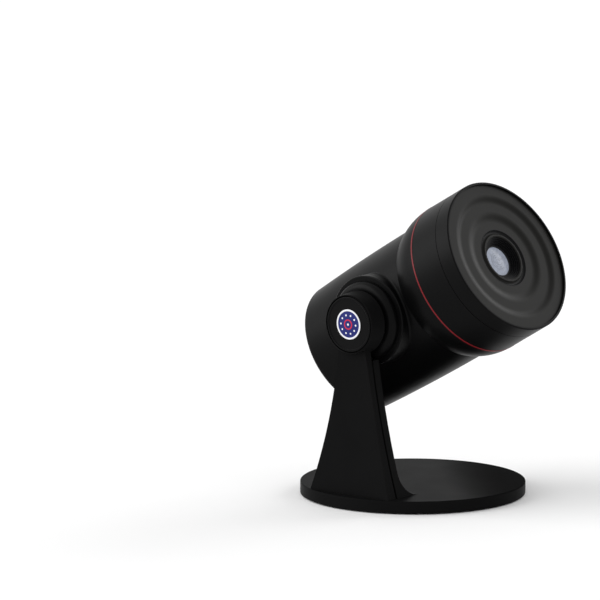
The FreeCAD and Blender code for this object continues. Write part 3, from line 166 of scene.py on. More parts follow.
class MetalSettings(bpy.types.PropertyGroup):
    """Colours of the metals."""

    steel_colour: colour("Steel", "Zinc plated steel of the screws", (0.50, 0.51, 0.53))
    brass_colour: colour("Brass", "Brass of the bushing and gearbox", (0.62, 0.45, 0.20))
    aluminium_colour: colour("Aluminium", "Grey anodised heat sink", (0.42, 0.43, 0.45))
    cast_colour: colour("Cast iron", "Dark skin of the base weight", (0.060, 0.058, 0.056))
    lay_size: length("Lay", "Spacing of the fine tool marks", 0.00022)


class OpticsSettings(bpy.types.PropertyGroup):
    """Colours and sizes of the lenses, the lamp and the film."""

    # The lens colour is also the colour of the lens's painted glow.
    lens_and_glow_colour: colour("Front lens", "Milky blue white of the front lens", (0.24, 0.262, 0.315))
    glass_colour: colour("Glass", "Tint of the inner lenses", (0.93, 0.96, 0.97))
    phosphor_colour: colour("Phosphor", "Yellow under the dome of the lamp", (0.85, 0.62, 0.12))
    dome_colour: colour("Lamp dome", "Clear silicone of the lamp", (0.80, 0.78, 0.66))
    sky_colour: colour("Film ground", "Deep blue of the film picture", (0.004, 0.006, 0.030))
    cloud_colour: colour("Film cloud", "Violet clouds of the film picture", (0.10, 0.05, 0.22))
    star_colour: colour("Film dots", "White dots of the film picture", (0.90, 0.92, 1.00))
    ring_gap: length("Lens rings", "Spacing of the faint rings on the lens", 0.00110)
    star_gap: length("Film dot gap", "Spacing of the dots on the film", 0.0011)


class BoardSettings(bpy.types.PropertyGroup):
    """Colours and sizes of the circuit boards."""

    mask_colour: colour("Board", "Green lacquer of the boards", (0.010, 0.075, 0.030))
    copper_colour: colour("Tracks", "Tracks under the lacquer", (0.030, 0.140, 0.050))
    tin_colour: colour("Pads", "Tinned pads", (0.60, 0.60, 0.58))
    chip_colour: colour("Chips", "Black of the small parts", (0.012, 0.012, 0.013))
    track_gap: length("Track gap", "Spacing of the tracks", 0.0012)
    pad_gap: length("Pad gap", "Spacing of the pads", 0.0048)


class BadgeSettings(bpy.types.PropertyGroup):
    """Colours and sizes of the round badge on the hub cap."""

    field_colour: colour("Field", "Blue of the badge", (0.012, 0.018, 0.130))
    rim_colour: colour("Rim", "White of the rim and dots", (0.80, 0.80, 0.82))
    accent_colour: colour("Accent", "Red of the inner ring", (0.52, 0.018, 0.045))
    rim_share: share("Rim width", "Share of the radius that the rim takes", 0.12)
    dot_ring_share: share("Dot ring", "Share of the radius that the dot ring has", 0.62)
    dot_share: share("Dot radius", "Share of the radius that one dot has", 0.062)
    accent_share: share("Inner ring", "Share of the radius that the red ring has", 0.30)
    accent_width_share: share("Inner ring width", "Share of the radius across it", 0.085)
    dome_height: length("Dome", "Height of the dome inside the rim", 0.00045)
    dot_count: IntProperty(
        name="Dots", description="How many dots stand in the ring", min=3, max=24, default=10
    )
    facets: IntProperty(
        name="Facets", description="Steps round the badge", min=24, max=192, default=96
    )


class StudioSettings(bpy.types.PropertyGroup):
    """The floor, the light and the camera."""

    floor_colour: colour("Floor", "Pale floor near the object", (0.97, 0.97, 0.97))
    far_colour: colour("Far floor", "White floor behind the object", (0.99, 0.99, 0.99))
    floor_radius: length("Floor radius", "Radius of the round floor", 12.0)
    fade_start: length("Fade start", "Distance at which the floor gets whiter", 0.15)
    fade_end: length("Fade end", "Distance at which the floor is white", 0.85)
    ambient: share("Ambient", "Light that comes from all round", 0.70)
    key_power: FloatProperty(name="Key", description="Light of the wide left lamp", default=1.9)
    key_width: angle("Key width", "How wide the left lamp looks", 50)
    key_from: direction("Key from", "Right, up and back parts of its place", (-0.82, 0.44, 0.14))
    fill_power: FloatProperty(name="Fill", description="Light of the right lamp", default=0.85)
    fill_width: angle("Fill width", "How wide the right lamp looks", 36)
    fill_from: direction("Fill from", "Right, up and back parts of its place", (0.72, 0.47, -0.50))
    lens: FloatProperty(name="Lens", description="Focal length in millimetres", default=672.8)
    distance: length("Distance", "From the camera to the object", 5.7225)
    to_right: length("To the right", "How far the camera stands aside", -0.057568)
    to_top: length("To the top", "How far the camera is lifted", 0.097926)
    stand_off: length("Floor gap", "Lift of the whole view", 0.0005)
    azimuth: angle("Azimuth", "Turn of the camera about the object", -50.449)
    elevation: angle("Elevation", "Angle of the camera above the floor", 10.232)


class Signal:
    """An output of a shader node that takes part in sums."""

    def __init__(self, shader, socket):
        self.shader = shader
        self.socket = socket

    def maths(self, operation, *values):
        """One Math node on these values."""
        return self.shader.node("ShaderNodeMath", {"operation": operation}, values)

    def __add__(self, other):
        return self.maths("ADD", self, other)

    def __radd__(self, other):
        return self.maths("ADD", other, self)

    def __sub__(self, other):
        return self.maths("SUBTRACT", self, other)

    def __rsub__(self, other):
        return self.maths("SUBTRACT", other, self)

    def __mul__(self, other):
        return self.maths("MULTIPLY", self, other)

    def __rmul__(self, other):
        return self.maths("MULTIPLY", other, self)

    def __truediv__(self, other):
        return self.maths("DIVIDE", self, other)

    def __abs__(self):
        return self.maths("ABSOLUTE", self)

    def root(self):
        """The square root."""
        return self.maths("SQRT", self)

    def diagonal(self, other):
        """The length of the diagonal over this side and another."""
        return (self * self + other * other).root()

    def wave(self):
        """The sine of an angle in radians, lifted to run from 0 to 1."""
        return self.maths("SINE", self) * 0.5 + 0.5

    def fraction(self):
        """What is left over the whole number below."""
        return self.maths("FRACT", self)

    def larger(self, other):
        """The larger of the two."""
        return self.maths("MAXIMUM", self, other)

    def step(self, low, high):
        """0 up to low, 1 from high on, and a smooth change between."""
        return self.shader.node(
            "ShaderNodeMapRange",
            {"interpolation_type": "SMOOTHSTEP"},
            {"Value": self, "From Min": low, "From Max": high},
        )

    def below(self, limit, blur):
        """1 where the value is below the limit, with a soft edge."""
        return 1 - self.step(limit - blur, limit + blur)


class Shader:
    """A node tree and the few ways in which nodes are added to it."""

    def __init__(self, tree):
        self.tree = tree
        self.tree.nodes.clear()
        self.kept_position = None

    def feed(self, socket, value):
        """Links a signal to the socket, or writes a plain value on it."""
        if isinstance(value, Signal):
            self.tree.links.new(value.socket, socket)
        else:
            socket.default_value = value

    def node(self, kind, settings=None, values=(), output=0):
        """Adds a node, first its settings and then its inputs, and gives one output."""
        made = self.tree.nodes.new(kind)
        for name, value in (settings or {}).items():
            setattr(made, name, value)
        pairs = values.items() if isinstance(values, dict) else enumerate(values)
        for name, value in pairs:
            self.feed(made.inputs[name], value)
        return Signal(self, made.outputs[output])

    def position(self):
        """The point on the object, in metres."""
        if self.kept_position is None:
            self.kept_position = self.node("ShaderNodeTexCoord", output="Object")
        return self.kept_position

    def mapped(self, centre, axis, stretch=(1, 1, 1)):
        """Coordinates with their origin at centre and their Z along axis."""
        turn = Vector(axis).to_track_quat("Z", "Y").to_euler()
        values = {
            "Vector": self.position(),
            "Location": centre,
            "Rotation": turn,
            "Scale": stretch,
        }
        return self.node("ShaderNodeMapping", {"vector_type": "TEXTURE"}, values)

    def parts(self, vector):
        """The three numbers of a vector."""
        split = self.node("ShaderNodeSeparateXYZ", values=[vector])
        outputs = split.socket.node.outputs
        return [Signal(self, output) for output in outputs]

    def radius(self, centre, axis):
        """The distance from an axis, in metres."""
        across, along, _ = self.parts(self.mapped(centre, axis))
        return across.diagonal(along)

    def noise(self, size, detail=2.0, place=None, blur=0.5):
        """Soft noise from 0 to 1 with features of this size in metres."""
        values = {
            "Vector": place or self.position(),
            "Scale": 1 / size,
            "Detail": detail,
            "Roughness": blur,
        }
        return self.node("ShaderNodeTexNoise", values=values)

    def cells(self, size, place=None, feature="F1"):
        """The distance to the nearest point of a scattered set, as a share of its spacing."""
        values = {"Vector": place or self.position(), "Scale": 1 / size}
        return self.node("ShaderNodeTexVoronoi", {"feature": feature}, values)

    def mix(self, factor, first, second):
        """A colour between two colours."""
        made = self.tree.nodes.new("ShaderNodeMix")
        made.data_type = "RGBA"
        sockets = [s for s in made.inputs if s.enabled]
        for socket, value in zip(sockets, (factor, first, second)):
            self.feed(socket, value)
        output = next(s for s in made.outputs if s.enabled)
        return Signal(self, output)

    def shades(self, factor, rgb, at_zero, at_one):
        """The colour times at_zero where the factor is 0, up to times at_one where it is 1."""
        return self.mix(factor, scaled(rgb, at_zero), scaled(rgb, at_one))

    def bump(self, height, depth):
        """A normal that follows a height from 0 to 1, this deep in metres."""
        values = {"Strength": 1.0, "Distance": depth, "Height": height}
        return self.node("ShaderNodeBump", values=values)


class Finish(Shader):
    """A material with one surface shader."""

    def __init__(self, name):
        self.material = bpy.data.materials.new(name)
        self.material.use_nodes = True
        super().__init__(self.material.node_tree)
        surface = self.node("ShaderNodeBsdfPrincipled")
        self.surface = surface.socket.node
        output = self.tree.nodes.new("ShaderNodeOutputMaterial")
        self.feed(output.inputs["Surface"], surface)

    def set(self, **values):
        """Sets or links inputs of the surface, named with lines for spaces."""
        names = {socket.name.lower().replace(" ", "_"): socket for socket in self.surface.inputs}
        for name, value in values.items():
            self.feed(names[name], value)


def opaque(rgb):
    """A colour with full cover, for a colour socket."""
    return (*rgb, 1.0)


def scaled(rgb, factor):
    """The colour made lighter or darker."""
    return opaque(min(part * factor, 1.0) for part in rgb)


def varied(value, noise, spread):
    """The value, moved half the spread down where the noise is 0 and half up where it is 1."""
    return value + (noise - 0.5) * spread


def moulded_plastic(name, rgb, roughness, gloss, matt_and_shade_zone=None):
    """Moulded plastic with a fine eroded skin and soft patches, matt in a zone whose colour also gets
    painted shade.
    """
    plastic = bpy.context.scene.projector_plastic
    finish = Finish(name)
    grain = finish.noise(plastic.grain_size, detail=3)
    pits = finish.cells(plastic.grain_size * 1.6)
    patches = finish.noise(plastic.patch_size, detail=3)
    skin = grain * 0.6 + pits * 0.4
    uneven = varied(varied(roughness, patches, spread=0.10), grain, spread=0.08)
    tone = finish.shades(patches, rgb, at_zero=0.85, at_one=1.15)
    if matt_and_shade_zone:
        # The zone makes the skin matter and also drives the painted shade in the colour below.
        dull = matt_and_shade_zone(finish)
        uneven = uneven + dull * 0.6
        # Painted shade: inside the zone the colour is taken towards near black.
        tone = finish.mix(dull * 0.9, tone, scaled(rgb, 0.05))
    finish.set(
        base_color=tone,
        roughness=uneven,
        normal=finish.bump(skin, plastic.grain_depth),
        specular_ior_level=gloss,
    )
    return finish.material


def base_top_matt_and_shade(finish):
    """How matt the base top is and how much painted shade its colour gets: 0 on the arm, and on the
    flat top of the base more towards its front right, painted darker there as shade under the head.
    """
    everywhere = 0.09
    at_front_right = 0.55
    across, along, height = finish.parts(finish.position())
    aside = (across - along) / base_reach
    on_top = abs(height - base_top).below(limit=0.0006, blur=0.0002)
    return on_top * (everywhere + aside.step(low=0.35, high=1.2) * at_front_right)


def satin_front(name, rgb):
    """Warm grey satin plastic, black in the throat, and painted black as painted shade in the hollow
    ring round its collar.
    """
    plastic = bpy.context.scene.projector_plastic
    finish = Finish(name)
    reach = finish.radius(lens_centre, barrel_axis)
    throat = reach.below(throat_radius, blur=0.00015)
    # Painted shade: the hollow ring round the collar is painted black where its walls fall in shadow.
    groove_shade = abs(reach - groove_radius).below(groove_width / 2, blur=0.0003)
    turned = (reach * (2 * math.pi / turning_pitch)).wave()
    grain = finish.noise(plastic.grain_size, detail=3)
    patches = finish.noise(plastic.patch_size, detail=3)
    satin = finish.shades(patches, rgb, at_zero=0.92, at_one=1.08)
    finish.set(
        # The throat is black; the hollow ring round the collar takes the same black as painted shade.
        base_color=finish.mix(throat.larger(groove_shade), satin, opaque(plastic.throat_black_and_groove_shade)),
        roughness=varied(plastic.front_roughness, patches, spread=0.06) + throat * 0.12,
        normal=finish.bump(grain * 0.7 + turned * 0.3, plastic.grain_depth * 0.6),
        specular_ior_level=plastic.front_gloss,
    )
    return finish.material


def painted_ring(name, rgb):
    """Red satin plastic with slight flow marks."""
    plastic = bpy.context.scene.projector_plastic
    finish = Finish(name)
    grain = finish.noise(plastic.grain_size, detail=2)
    place = finish.mapped(hub_point, barrel_axis, stretch=(1, 1, 0.1))
    flow = finish.noise(size=0.006, detail=4, place=place)
    finish.set(
        base_color=finish.shades(flow, rgb, at_zero=0.80, at_one=1.15),
        roughness=varied(0.38, flow, spread=0.12),
        normal=finish.bump(grain, plastic.grain_depth * 0.5),
        specular_ior_level=0.2,
    )
    return finish.material


def rubber(name, rgb):
    """Matt rubber with a pebbled skin and pale dust."""
    finish = Finish(name)
    pebbles = finish.cells(size=0.0009, feature="SMOOTH_F1")
    dust = finish.noise(size=0.004, detail=5).step(low=0.52, high=0.80)
    finish.set(
        base_color=finish.mix(dust * 0.35, opaque(rgb), scaled(rgb, 4)),
        roughness=0.78 + dust * 0.12,
        normal=finish.bump(pebbles, depth=0.00006),
        specular_ior_level=0.2,
    )
    return finish.material


def nylon(name, rgb):
    """Milky nylon with flow clouds, a little darker where they fold."""
    finish = Finish(name)
    clouds = finish.noise(size=0.005, detail=4)
    grain = finish.noise(size=0.0003, detail=2)
    finish.set(
        base_color=finish.shades(clouds, rgb, at_zero=0.86, at_one=1.04),
        roughness=varied(0.42, clouds, spread=0.16),
        normal=finish.bump(grain, depth=0.000008),
        subsurface_weight=0.15,
        subsurface_scale=0.002,
    )
    return finish.material


def machined_metal(name, rgb, roughness, axis=PIVOT_AXIS):
    """Metal with fine tool marks across its axis and a few dull spots."""
    metal = bpy.context.scene.projector_metal
    finish = Finish(name)
    place = finish.mapped(hub_point, axis, stretch=(1, 1, 30))
    marks = finish.noise(metal.lay_size, detail=3, place=place)
    smudges = finish.noise(size=0.007, detail=4)
    dull = finish.noise(size=0.0012, detail=3).step(low=0.60, high=0.80) * 0.4
    finish.set(
        base_color=finish.shades(smudges * 0.35 + dull, rgb, at_zero=1.08, at_one=0.62),
        metallic=1 - dull * 0.5,
        roughness=varied(roughness, marks, spread=0.16) + smudges * 0.10,
        normal=finish.bump(marks, depth=0.000006),
    )
    return finish.material


def cast_iron(name, rgb):
    """Dark cast iron with a sandy skin and worn high spots."""
    finish = Finish(name)
    sand = finish.noise(size=0.0012, detail=6, blur=0.65)
    worn = sand.step(low=0.58, high=0.72)
    finish.set(
        base_color=finish.mix(worn * 0.5, opaque(rgb), scaled(rgb, 4)),
        metallic=worn * 0.8,
        roughness=0.72 - worn * 0.25,
        normal=finish.bump(sand, depth=0.00012),
    )
    return finish.material


def clear_glass(name, rgb, node):
    """Clear lens glass, frosted where its edge is ground."""
    centre, radius = disc_of(node)
    finish = Finish(name)
    haze = finish.noise(size=0.003, detail=3)
    scratches = finish.noise(size=0.0004, detail=2)
    ground = finish.radius(centre, barrel_axis).step(radius * 0.92, radius * 0.97)
    finish.set(
        base_color=opaque(rgb),
        roughness=0.01 + haze * 0.02 + ground * 0.35,
        normal=finish.bump(scratches * ground, depth=0.00002),
        transmission_weight=1.0,
        ior=1.49,
    )
    return finish.material


def milky_lens(name, rgb):
    """The front lens, which glows blue white as painted light, with faint turned rings and a painted
    highlight near its rim.
    """
    optics = bpy.context.scene.projector_optics
    centre, radius = disc_of("front_lens")
    finish = Finish(name)
    reach = finish.radius(centre, barrel_axis)
    haze = finish.noise(size=0.0022, detail=3)
    waves = (reach * (2 * math.pi / optics.ring_gap) + haze * 3).wave()
    rings = waves * (1 - reach.step(radius * 0.45, radius * 0.62))
    flecks = finish.cells(size=0.0016).step(low=0.35, high=0.75)
    # Painted highlight: the band near the rim is kept free of rings and flecks, so it comes out
    # lighter.
    rim = reach.step(radius * 0.70, radius * 0.82)
    shade = (rings * 0.55 + flecks * 0.30 + haze * 0.15) * (1 - rim)
    milk_and_painted_light = finish.shades(shade, rgb, at_zero=1.35, at_one=0.70)
    finish.set(
        base_color=milk_and_painted_light,
        roughness=0.22 + haze * 0.10,
        normal=finish.bump(rings, depth=0.00001),
        specular_ior_level=0.2,
        coat_weight=0.15,
        coat_roughness=0.12,
        # Painted light: the lens glows in its own colour, though no lamp shines through it.
        emission_color=milk_and_painted_light,
        emission_strength=0.30,
    )
    return finish.material


def star_film(name):
    """A deep blue transparency with violet clouds and scattered white dots."""
    optics = bpy.context.scene.projector_optics
    centre, radius = disc_of("film_picture")
    finish = Finish(name)
    clouds = finish.noise(size=0.007, detail=6, blur=0.6).step(low=0.42, high=0.72)
    near = finish.cells(optics.star_gap).below(limit=0.11, blur=0.04)
    large = finish.cells(optics.star_gap * 3.3).below(limit=0.07, blur=0.02)
    clear_edge = finish.radius(centre, barrel_axis).step(radius * 0.94, radius * 0.96)
    ground = finish.mix(clouds, opaque(optics.sky_colour), opaque(optics.cloud_colour))
    dotted = finish.mix(near.larger(large), ground, opaque(optics.star_colour))
    finish.set(
        base_color=finish.mix(clear_edge, dotted, scaled(optics.sky_colour, 0.4)),
        roughness=0.16 + clouds * 0.08,
        coat_weight=0.4,
        coat_roughness=0.08,
    )
    return finish.material


def lamp_dome(name):
    """A clear dome over a yellow square of phosphor."""
    optics = bpy.context.scene.projector_optics
    centre, _ = disc_of("light_emitter")
    finish = Finish(name)
    across, along, _ = finish.parts(finish.mapped(centre, barrel_axis))
    chip = abs(across).larger(abs(along)).below(limit=0.0012, blur=0.0001)
    grain = finish.noise(size=0.0004, detail=3)
    clear = opaque(optics.dome_colour)
    yellow = opaque(optics.phosphor_colour)
    finish.set(
        base_color=finish.mix(chip * (0.85 + grain * 0.15), clear, yellow),
        roughness=0.12 + grain * 0.12,
        coat_weight=0.8,
        coat_roughness=0.03,
        subsurface_weight=0.2,
        subsurface_scale=0.001,
    )
    return finish.material


def from_middle(distance, gap):
    """How far a distance lies from the middle of its gap, as a share of the gap."""
    return (distance / gap).fraction() - 0.5


def circuit_board(name):
    """Green lacquer over copper tracks, with rows of tinned pads."""
    board = bpy.context.scene.projector_board
    finish = Finish(name)
    across, along, _ = finish.parts(finish.mapped(hub_point, barrel_axis))
    bends = finish.noise(size=0.009, detail=1).step(low=0.46, high=0.54)
    runs = across + (along - across) * bends
    tracks = abs(from_middle(runs, board.track_gap)).below(limit=0.22, blur=0.04)
    pad_centre = from_middle(across, board.pad_gap).diagonal(from_middle(along, board.pad_gap))
    pads = pad_centre.below(limit=0.10, blur=0.01)
    weave = finish.noise(size=0.0006, detail=2)
    lacquer = finish.mix(tracks, opaque(board.mask_colour), opaque(board.copper_colour))
    finish.set(
        base_color=finish.mix(pads, lacquer, opaque(board.tin_colour)),
        metallic=pads * 0.9,
        roughness=0.34 + weave * 0.10 - pads * 0.08,
        normal=finish.bump(tracks * 0.6 + pads + weave * 0.1, depth=0.00003),
    )
    return finish.material


def moulded_chip(name, rgb):
    """Black epoxy of small parts, speckled with glass."""
    finish = Finish(name)
    speckle = finish.noise(size=0.0002, detail=3)
    finish.set(
        base_color=finish.mix(speckle.step(low=0.55, high=0.75) * 0.4, opaque(rgb), scaled(rgb, 5)),
        roughness=varied(0.52, speckle, spread=0.15),
        normal=finish.bump(speckle, depth=0.00001),
        specular_ior_level=0.3,
    )
    return finish.material


def printed_badge(name):
    """Enamel badge: a white rim, a blue field, a ring of dots and a red inner ring."""
    badge = bpy.context.scene.projector_badge
    print_blur = 0.012
    finish = Finish(name)
    across, along, _ = finish.parts(finish.mapped(badge_centre, PIVOT_AXIS))
    reach = across.diagonal(along) / badge_radius
    turn = finish.node("ShaderNodeMath", {"operation": "ARCTAN2"}, [along, across])
    cell = (turn * (badge.dot_count / (2 * math.pi)) + 0.5).fraction() - 0.5
    aside = cell * (2 * math.pi / badge.dot_count * badge.dot_ring_share)
    outward = reach - badge.dot_ring_share
    dots = aside.diagonal(outward).below(badge.dot_share, print_blur)
    inner = abs(reach - badge.accent_share).below(badge.accent_width_share / 2, print_blur)
    middle = reach.below(badge.dot_share * 1.2, print_blur)
    rim_from = 1 - badge.rim_share
    rim = reach.step(rim_from - print_blur, rim_from + print_blur)
    depth = finish.noise(size=0.0016, detail=4)
    blue = finish.shades(depth, badge.field_colour, at_zero=0.75, at_one=1.30)
    white = opaque(badge.rim_colour)
    with_ring = finish.mix(inner, blue, opaque(badge.accent_colour))
    with_dots = finish.mix(dots.larger(middle), with_ring, white)
    finish.set(
        base_color=finish.mix(rim, with_dots, white),
        roughness=0.42 + depth * 0.10,
        normal=finish.bump(dots.larger(inner).larger(rim), depth=0.00003),
        specular_ior_level=0.15,
    )
    return finish.material


def disc_of(node):
    """The centre and radius of a round node that stands across the barrel's axis."""
    low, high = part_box(node)
    return (low + high) / 2, (high.x - low.x) / 2


def nodes_of(slot_name):
    """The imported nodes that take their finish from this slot."""
    found = [
        node
        for node in frame["nodes"].values()
        if node.data.materials[0].name.split(".")[0] == slot_name
    ]
    if not found:
        raise RuntimeError(f"no packed node has the slot {slot_name}")
    return found


def dress(nodes, material):
    """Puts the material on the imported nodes, whose shapes stay as they are."""
    for node in nodes:
        for held in node.material_slots:
            held.material = material


def named(*names):
    """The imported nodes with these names."""
    return [frame["nodes"][name] for name in names]


def spun_disc(name, centre, profile, facets):
    """A round piece about the pivot's axis through centre, from (outward, radius) points."""
    shape = bmesh.new()
    points = [shape.verts.new((centre.x - out, centre.y, centre.z + up)) for out, up in profile]
    edges = [shape.edges.new(pair) for pair in zip(points, points[1:])]
    bmesh.ops.spin(
        shape,
        geom=points + edges,
        cent=centre,
        axis=PIVOT_AXIS,
        angle=2 * math.pi,
        steps=facets,
        use_merge=True,
    )
    bmesh.ops.remove_doubles(shape, verts=shape.verts, dist=MERGE_DISTANCE)
    bmesh.ops.recalc_face_normals(shape, faces=shape.faces)
    for face in shape.faces:
        face.smooth = True
    mesh = bpy.data.meshes.new(name)
    shape.to_mesh(mesh)
    shape.free()
    piece = bpy.data.objects.new(name, mesh)
    bpy.context.scene.collection.objects.link(piece)
    return piece


def badge_profile(badge):
    """Points of half the badge from its back to its front: a raised rim round a low dome."""
    back = badge_box[0].x - badge_centre.x
    front = -back
    field_radius = badge_radius * (1 - badge.rim_share)
    soft = badge_radius * 0.02
    dome_steps = 8
    profile = [
        (back, 0),
        (back, badge_radius - soft),
        (back + soft, badge_radius),
        (front, badge_radius),
        (front + soft, badge_radius - soft),
        (front + soft, field_radius + soft),
    ]
    for i in range(dome_steps + 1):
        reach = 1 - i / dome_steps
        rise = badge.dome_height * (1 - reach * reach)
        profile.append((front + rise, field_radius * reach))
    return profile


def camera_frame(studio):
    """The right, up and back directions of the camera."""
    turn = studio.azimuth
    lift = studio.elevation
    back = Vector(
        (math.sin(turn) * math.cos(lift), -math.cos(turn) * math.cos(lift), math.sin(lift))
    )
    right = Vector((math.cos(turn), math.sin(turn), 0))
    return right, back.cross(right), back


def make_camera(studio):
    """The long lens that looks at the object from the front left."""
    right, up, back = camera_frame(studio)
    data = bpy.data.cameras.new("studio_camera")
    data.lens = studio.lens
    data.sensor_width = 36
    data.clip_end = 100
    camera = bpy.data.objects.new("studio_camera", data)
    place = back * studio.distance + right * studio.to_right + up * studio.to_top
    camera.matrix_world = Matrix((right, up, back)).transposed().to_4x4()
    camera.location = place + Vector((0, 0, studio.stand_off))
    bpy.context.scene.collection.objects.link(camera)
    bpy.context.scene.camera = camera


def make_floor(studio):
    """The pale round floor, which is whiter far from the object."""
    shape = bmesh.new()
    bmesh.ops.create_circle(shape, cap_ends=True, radius=studio.floor_radius, segments=128)
    mesh = bpy.data.meshes.new("studio_floor")
    shape.to_mesh(mesh)
    shape.free()
    floor = bpy.data.objects.new("studio_floor", mesh)
    bpy.context.scene.collection.objects.link(floor)
    finish = Finish("floor_paint")
    reach = finish.radius(centre=(0, 0, 0), axis=(0, 0, 1))
    fade = reach.step(studio.fade_start, studio.fade_end)
    grain = finish.noise(size=0.002, detail=2)
    finish.set(
        base_color=finish.mix(fade, opaque(studio.floor_colour), opaque(studio.far_colour)),
        roughness=0.7 + grain * 0.1,
        specular_ior_level=0.1,
    )
    mesh.materials.append(finish.material)


def make_air(studio):
    """Soft light from all round, seen as white by the camera and in reflections."""
    world = bpy.data.worlds.new("studio_air")
    world.use_nodes = True
    bpy.context.scene.world = world
    shader = Shader(world.node_tree)
    path = shader.node("ShaderNodeLightPath", output="Is Camera Ray")
    glossy = Signal(shader, path.socket.node.outputs["Is Glossy Ray"])
    through = Signal(shader, path.socket.node.outputs["Is Transmission Ray"])
    seen = path.larger(glossy).larger(through)
    strength = studio.ambient + (1 - studio.ambient) * seen
    air = shader.node("ShaderNodeBackground", values={"Color": (1, 1, 1, 1), "Strength": strength})
    output = shader.tree.nodes.new("ShaderNodeOutputWorld")
    shader.feed(output.inputs["Surface"], air)


def add_lamp(name, power, width, towards):
    """A soft lamp far away in this direction."""
    data = bpy.data.lights.new(name, "SUN")
    data.energy = power
    data.angle = width
    lamp = bpy.data.objects.new(name, data)
    lamp.rotation_euler = towards.to_track_quat("Z", "Y").to_euler()
    bpy.context.scene.collection.objects.link(lamp)


def make_lamps(studio):
    """A wide lamp on the left and a smaller one at the right, behind the object."""
    view = Matrix(camera_frame(studio)).transposed()
    add_lamp("key_lamp", studio.key_power, studio.key_width, view @ Vector(studio.key_from))
    add_lamp("fill_lamp", studio.fill_power, studio.fill_width, view @ Vector(studio.fill_from))


class BlackShell(bpy.types.Operator):
    """Dresses the barrel, head, covers, arm and base in black plastic"""

    bl_idname = "projector.black_shell"
    bl_label = "Black shell"

    def execute(self, context):
        plastic = context.scene.projector_plastic
        shell = moulded_plastic(
            "shell_plastic", plastic.shell_colour, plastic.shell_roughness, plastic.shell_gloss
        )
        # The stand's base top is made matt and painted darker towards its front right as painted
        # shade.
        stand = moulded_plastic(
            "stand_plastic",
            plastic.stand_colour,
            plastic.shell_roughness,
            plastic.stand_gloss,
            base_top_matt_and_shade,
        )
        dress(nodes_of("black_shell"), shell)
        dress(named("stand_frame", "arm_cover"), stand)
        return {"FINISHED"}


class FrontPlate(bpy.types.Operator):
    """Dresses the rippled plate round the lens in warm grey plastic"""

    bl_idname = "projector.front_plate"
    bl_label = "Front plate"

    def execute(self, context):
        plastic = context.scene.projector_plastic
        dress(nodes_of("front_grey"), satin_front("front_plastic", plastic.front_colour))
        return {"FINISHED"}


class SmallPlastics(bpy.types.Operator):
    """Dresses the red ring, buttons, inner parts, gears, pad and seal"""

    bl_idname = "projector.small_plastics"
    bl_label = "Small plastics"

    def execute(self, context):
        plastic = context.scene.projector_plastic
        inner = moulded_plastic("inner_plastic", plastic.inner_colour, roughness=0.55, gloss=0.25)
        button = moulded_plastic("button_plastic", plastic.button_colour, roughness=0.42, gloss=0.3)
        film_rim = moulded_plastic("film_rim_plastic", plastic.inner_colour, roughness=0.40, gloss=0.3)
        dress(nodes_of("red_trim"), painted_ring("ring_plastic", plastic.trim_colour))
        dress(nodes_of("black_inner"), inner)
        dress(nodes_of("button_grey"), button)
        dress(nodes_of("film_frame"), film_rim)
        dress(nodes_of("white_nylon"), nylon("gear_nylon", plastic.nylon_colour))
        dress(nodes_of("pad_rubber"), rubber("pad_rubber_skin", plastic.rubber_colour))
        return {"FINISHED"}


class MetalParts(bpy.types.Operator):
    """Dresses the screws, pivot parts, motor, heat sink and base weight"""

    bl_idname = "projector.metal_parts"
    bl_label = "Metal parts"

    def execute(self, context):
        metal = context.scene.projector_metal
        steel = machined_metal("zinc_steel", metal.steel_colour, roughness=0.30)
        brass = machined_metal("turned_brass", metal.brass_colour, roughness=0.28)
        sink = machined_metal(
            "sink_metal", metal.aluminium_colour, roughness=0.38, axis=barrel_axis
        )
        dress(nodes_of("steel"), steel)
        dress(nodes_of("bushing_brass"), brass)
        dress(nodes_of("sink_aluminium"), sink)
        dress(nodes_of("cast_weight"), cast_iron("cast_skin", metal.cast_colour))
        return {"FINISHED"}


class LensesAndLamp(bpy.types.Operator):
    """Dresses the lenses, the lamp's dome and the film picture"""

    bl_idname = "projector.lenses_and_lamp"
    bl_label = "Lenses and lamp"

    def execute(self, context):
        optics = context.scene.projector_optics
        for node in nodes_of("lens_glass"):
            if node.name != "front_lens":
                glass = clear_glass(f"{node.name}_glass", optics.glass_colour, node.name)
                dress([node], glass)
        dress(named("front_lens"), milky_lens("front_lens_glass", optics.lens_and_glow_colour))
        dress(nodes_of("emitter_lens"), lamp_dome("lamp_silicone"))
        dress(nodes_of("film_print"), star_film("film_transparency"))
        return {"FINISHED"}


class CircuitBoards(bpy.types.Operator):
    """Dresses the circuit boards and the small parts on them"""

    bl_idname = "projector.circuit_boards"
    bl_label = "Circuit boards"

    def execute(self, context):
        board = context.scene.projector_board
        dress(nodes_of("circuit_board"), circuit_board("board_lacquer"))
        dress(nodes_of("board_black"), moulded_chip("chip_epoxy", board.chip_colour))
        return {"FINISHED"}


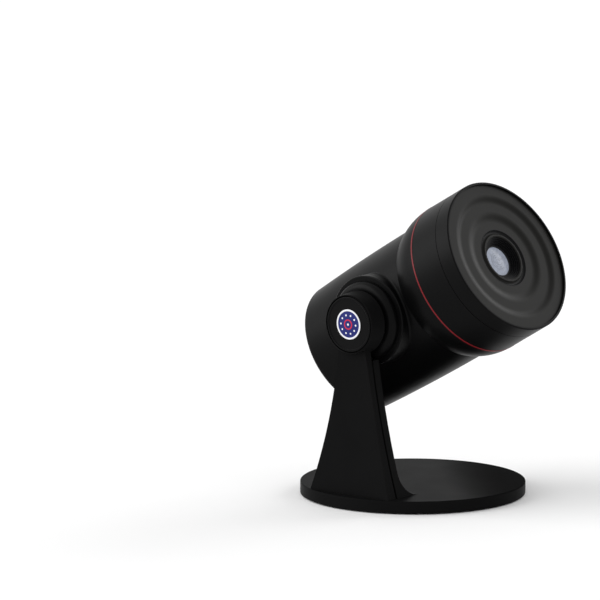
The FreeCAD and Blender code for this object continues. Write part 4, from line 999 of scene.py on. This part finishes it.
class Badge(bpy.types.Operator):
    """Makes the domed badge on the hub cap"""

    bl_idname = "projector.badge"
    bl_label = "Badge"

    def execute(self, context):
        badge = context.scene.projector_badge
        profile = badge_profile(badge)
        piece = spun_disc("badge_enamel", badge_centre, profile, badge.facets)
        piece.data.materials.append(printed_badge("badge_enamel_paint"))
        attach(piece, frame["nodes"]["pivot_badge"]["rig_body"])
        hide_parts("pivot_badge")
        return {"FINISHED"}


class Studio(bpy.types.Operator):
    """Sets up the floor, the light and the camera"""

    bl_idname = "projector.studio"
    bl_label = "Studio"

    def execute(self, context):
        studio = context.scene.projector_studio
        make_floor(studio)
        make_air(studio)
        make_lamps(studio)
        make_camera(studio)
        context.scene.view_settings.view_transform = "Standard"
        return {"FINISHED"}


settings_groups = {
    "projector_plastic": PlasticSettings,
    "projector_metal": MetalSettings,
    "projector_optics": OpticsSettings,
    "projector_board": BoardSettings,
    "projector_badge": BadgeSettings,
    "projector_studio": StudioSettings,
}
steps = (
    BlackShell,
    FrontPlate,
    SmallPlastics,
    MetalParts,
    LensesAndLamp,
    CircuitBoards,
    Badge,
    Studio,
)


class ProjectorPanel(bpy.types.Panel):
    """Lists the settings and the steps"""

    bl_idname = "VIEW3D_PT_projector"
    bl_label = "Planetarium projector"
    bl_space_type = "VIEW_3D"
    bl_region_type = "UI"
    bl_category = "Projector"

    def draw(self, context):
        for group_name, group in settings_groups.items():
            box = self.layout.box()
            settings = getattr(context.scene, group_name)
            for name in group.__annotations__:
                box.prop(settings, name)
        for step in steps:
            self.layout.operator(step.bl_idname)


classes = (*settings_groups.values(), *steps, ProjectorPanel)


def register():
    """Adds the classes and the settings of the scene."""
    for each in classes:
        bpy.utils.register_class(each)
    for name, group in settings_groups.items():
        setattr(bpy.types.Scene, name, PointerProperty(type=group))


def unregister():
    """Takes the settings and the classes away again."""
    for name in settings_groups:
        delattr(bpy.types.Scene, name)
    for each in reversed(classes):
        bpy.utils.unregister_class(each)


def main():
    """Registers the classes and runs every step."""
    register()
    for step in steps:
        name = step.bl_idname.split(".")[1]
        getattr(bpy.ops.projector, name)()


if __name__ == "__main__":
    main()
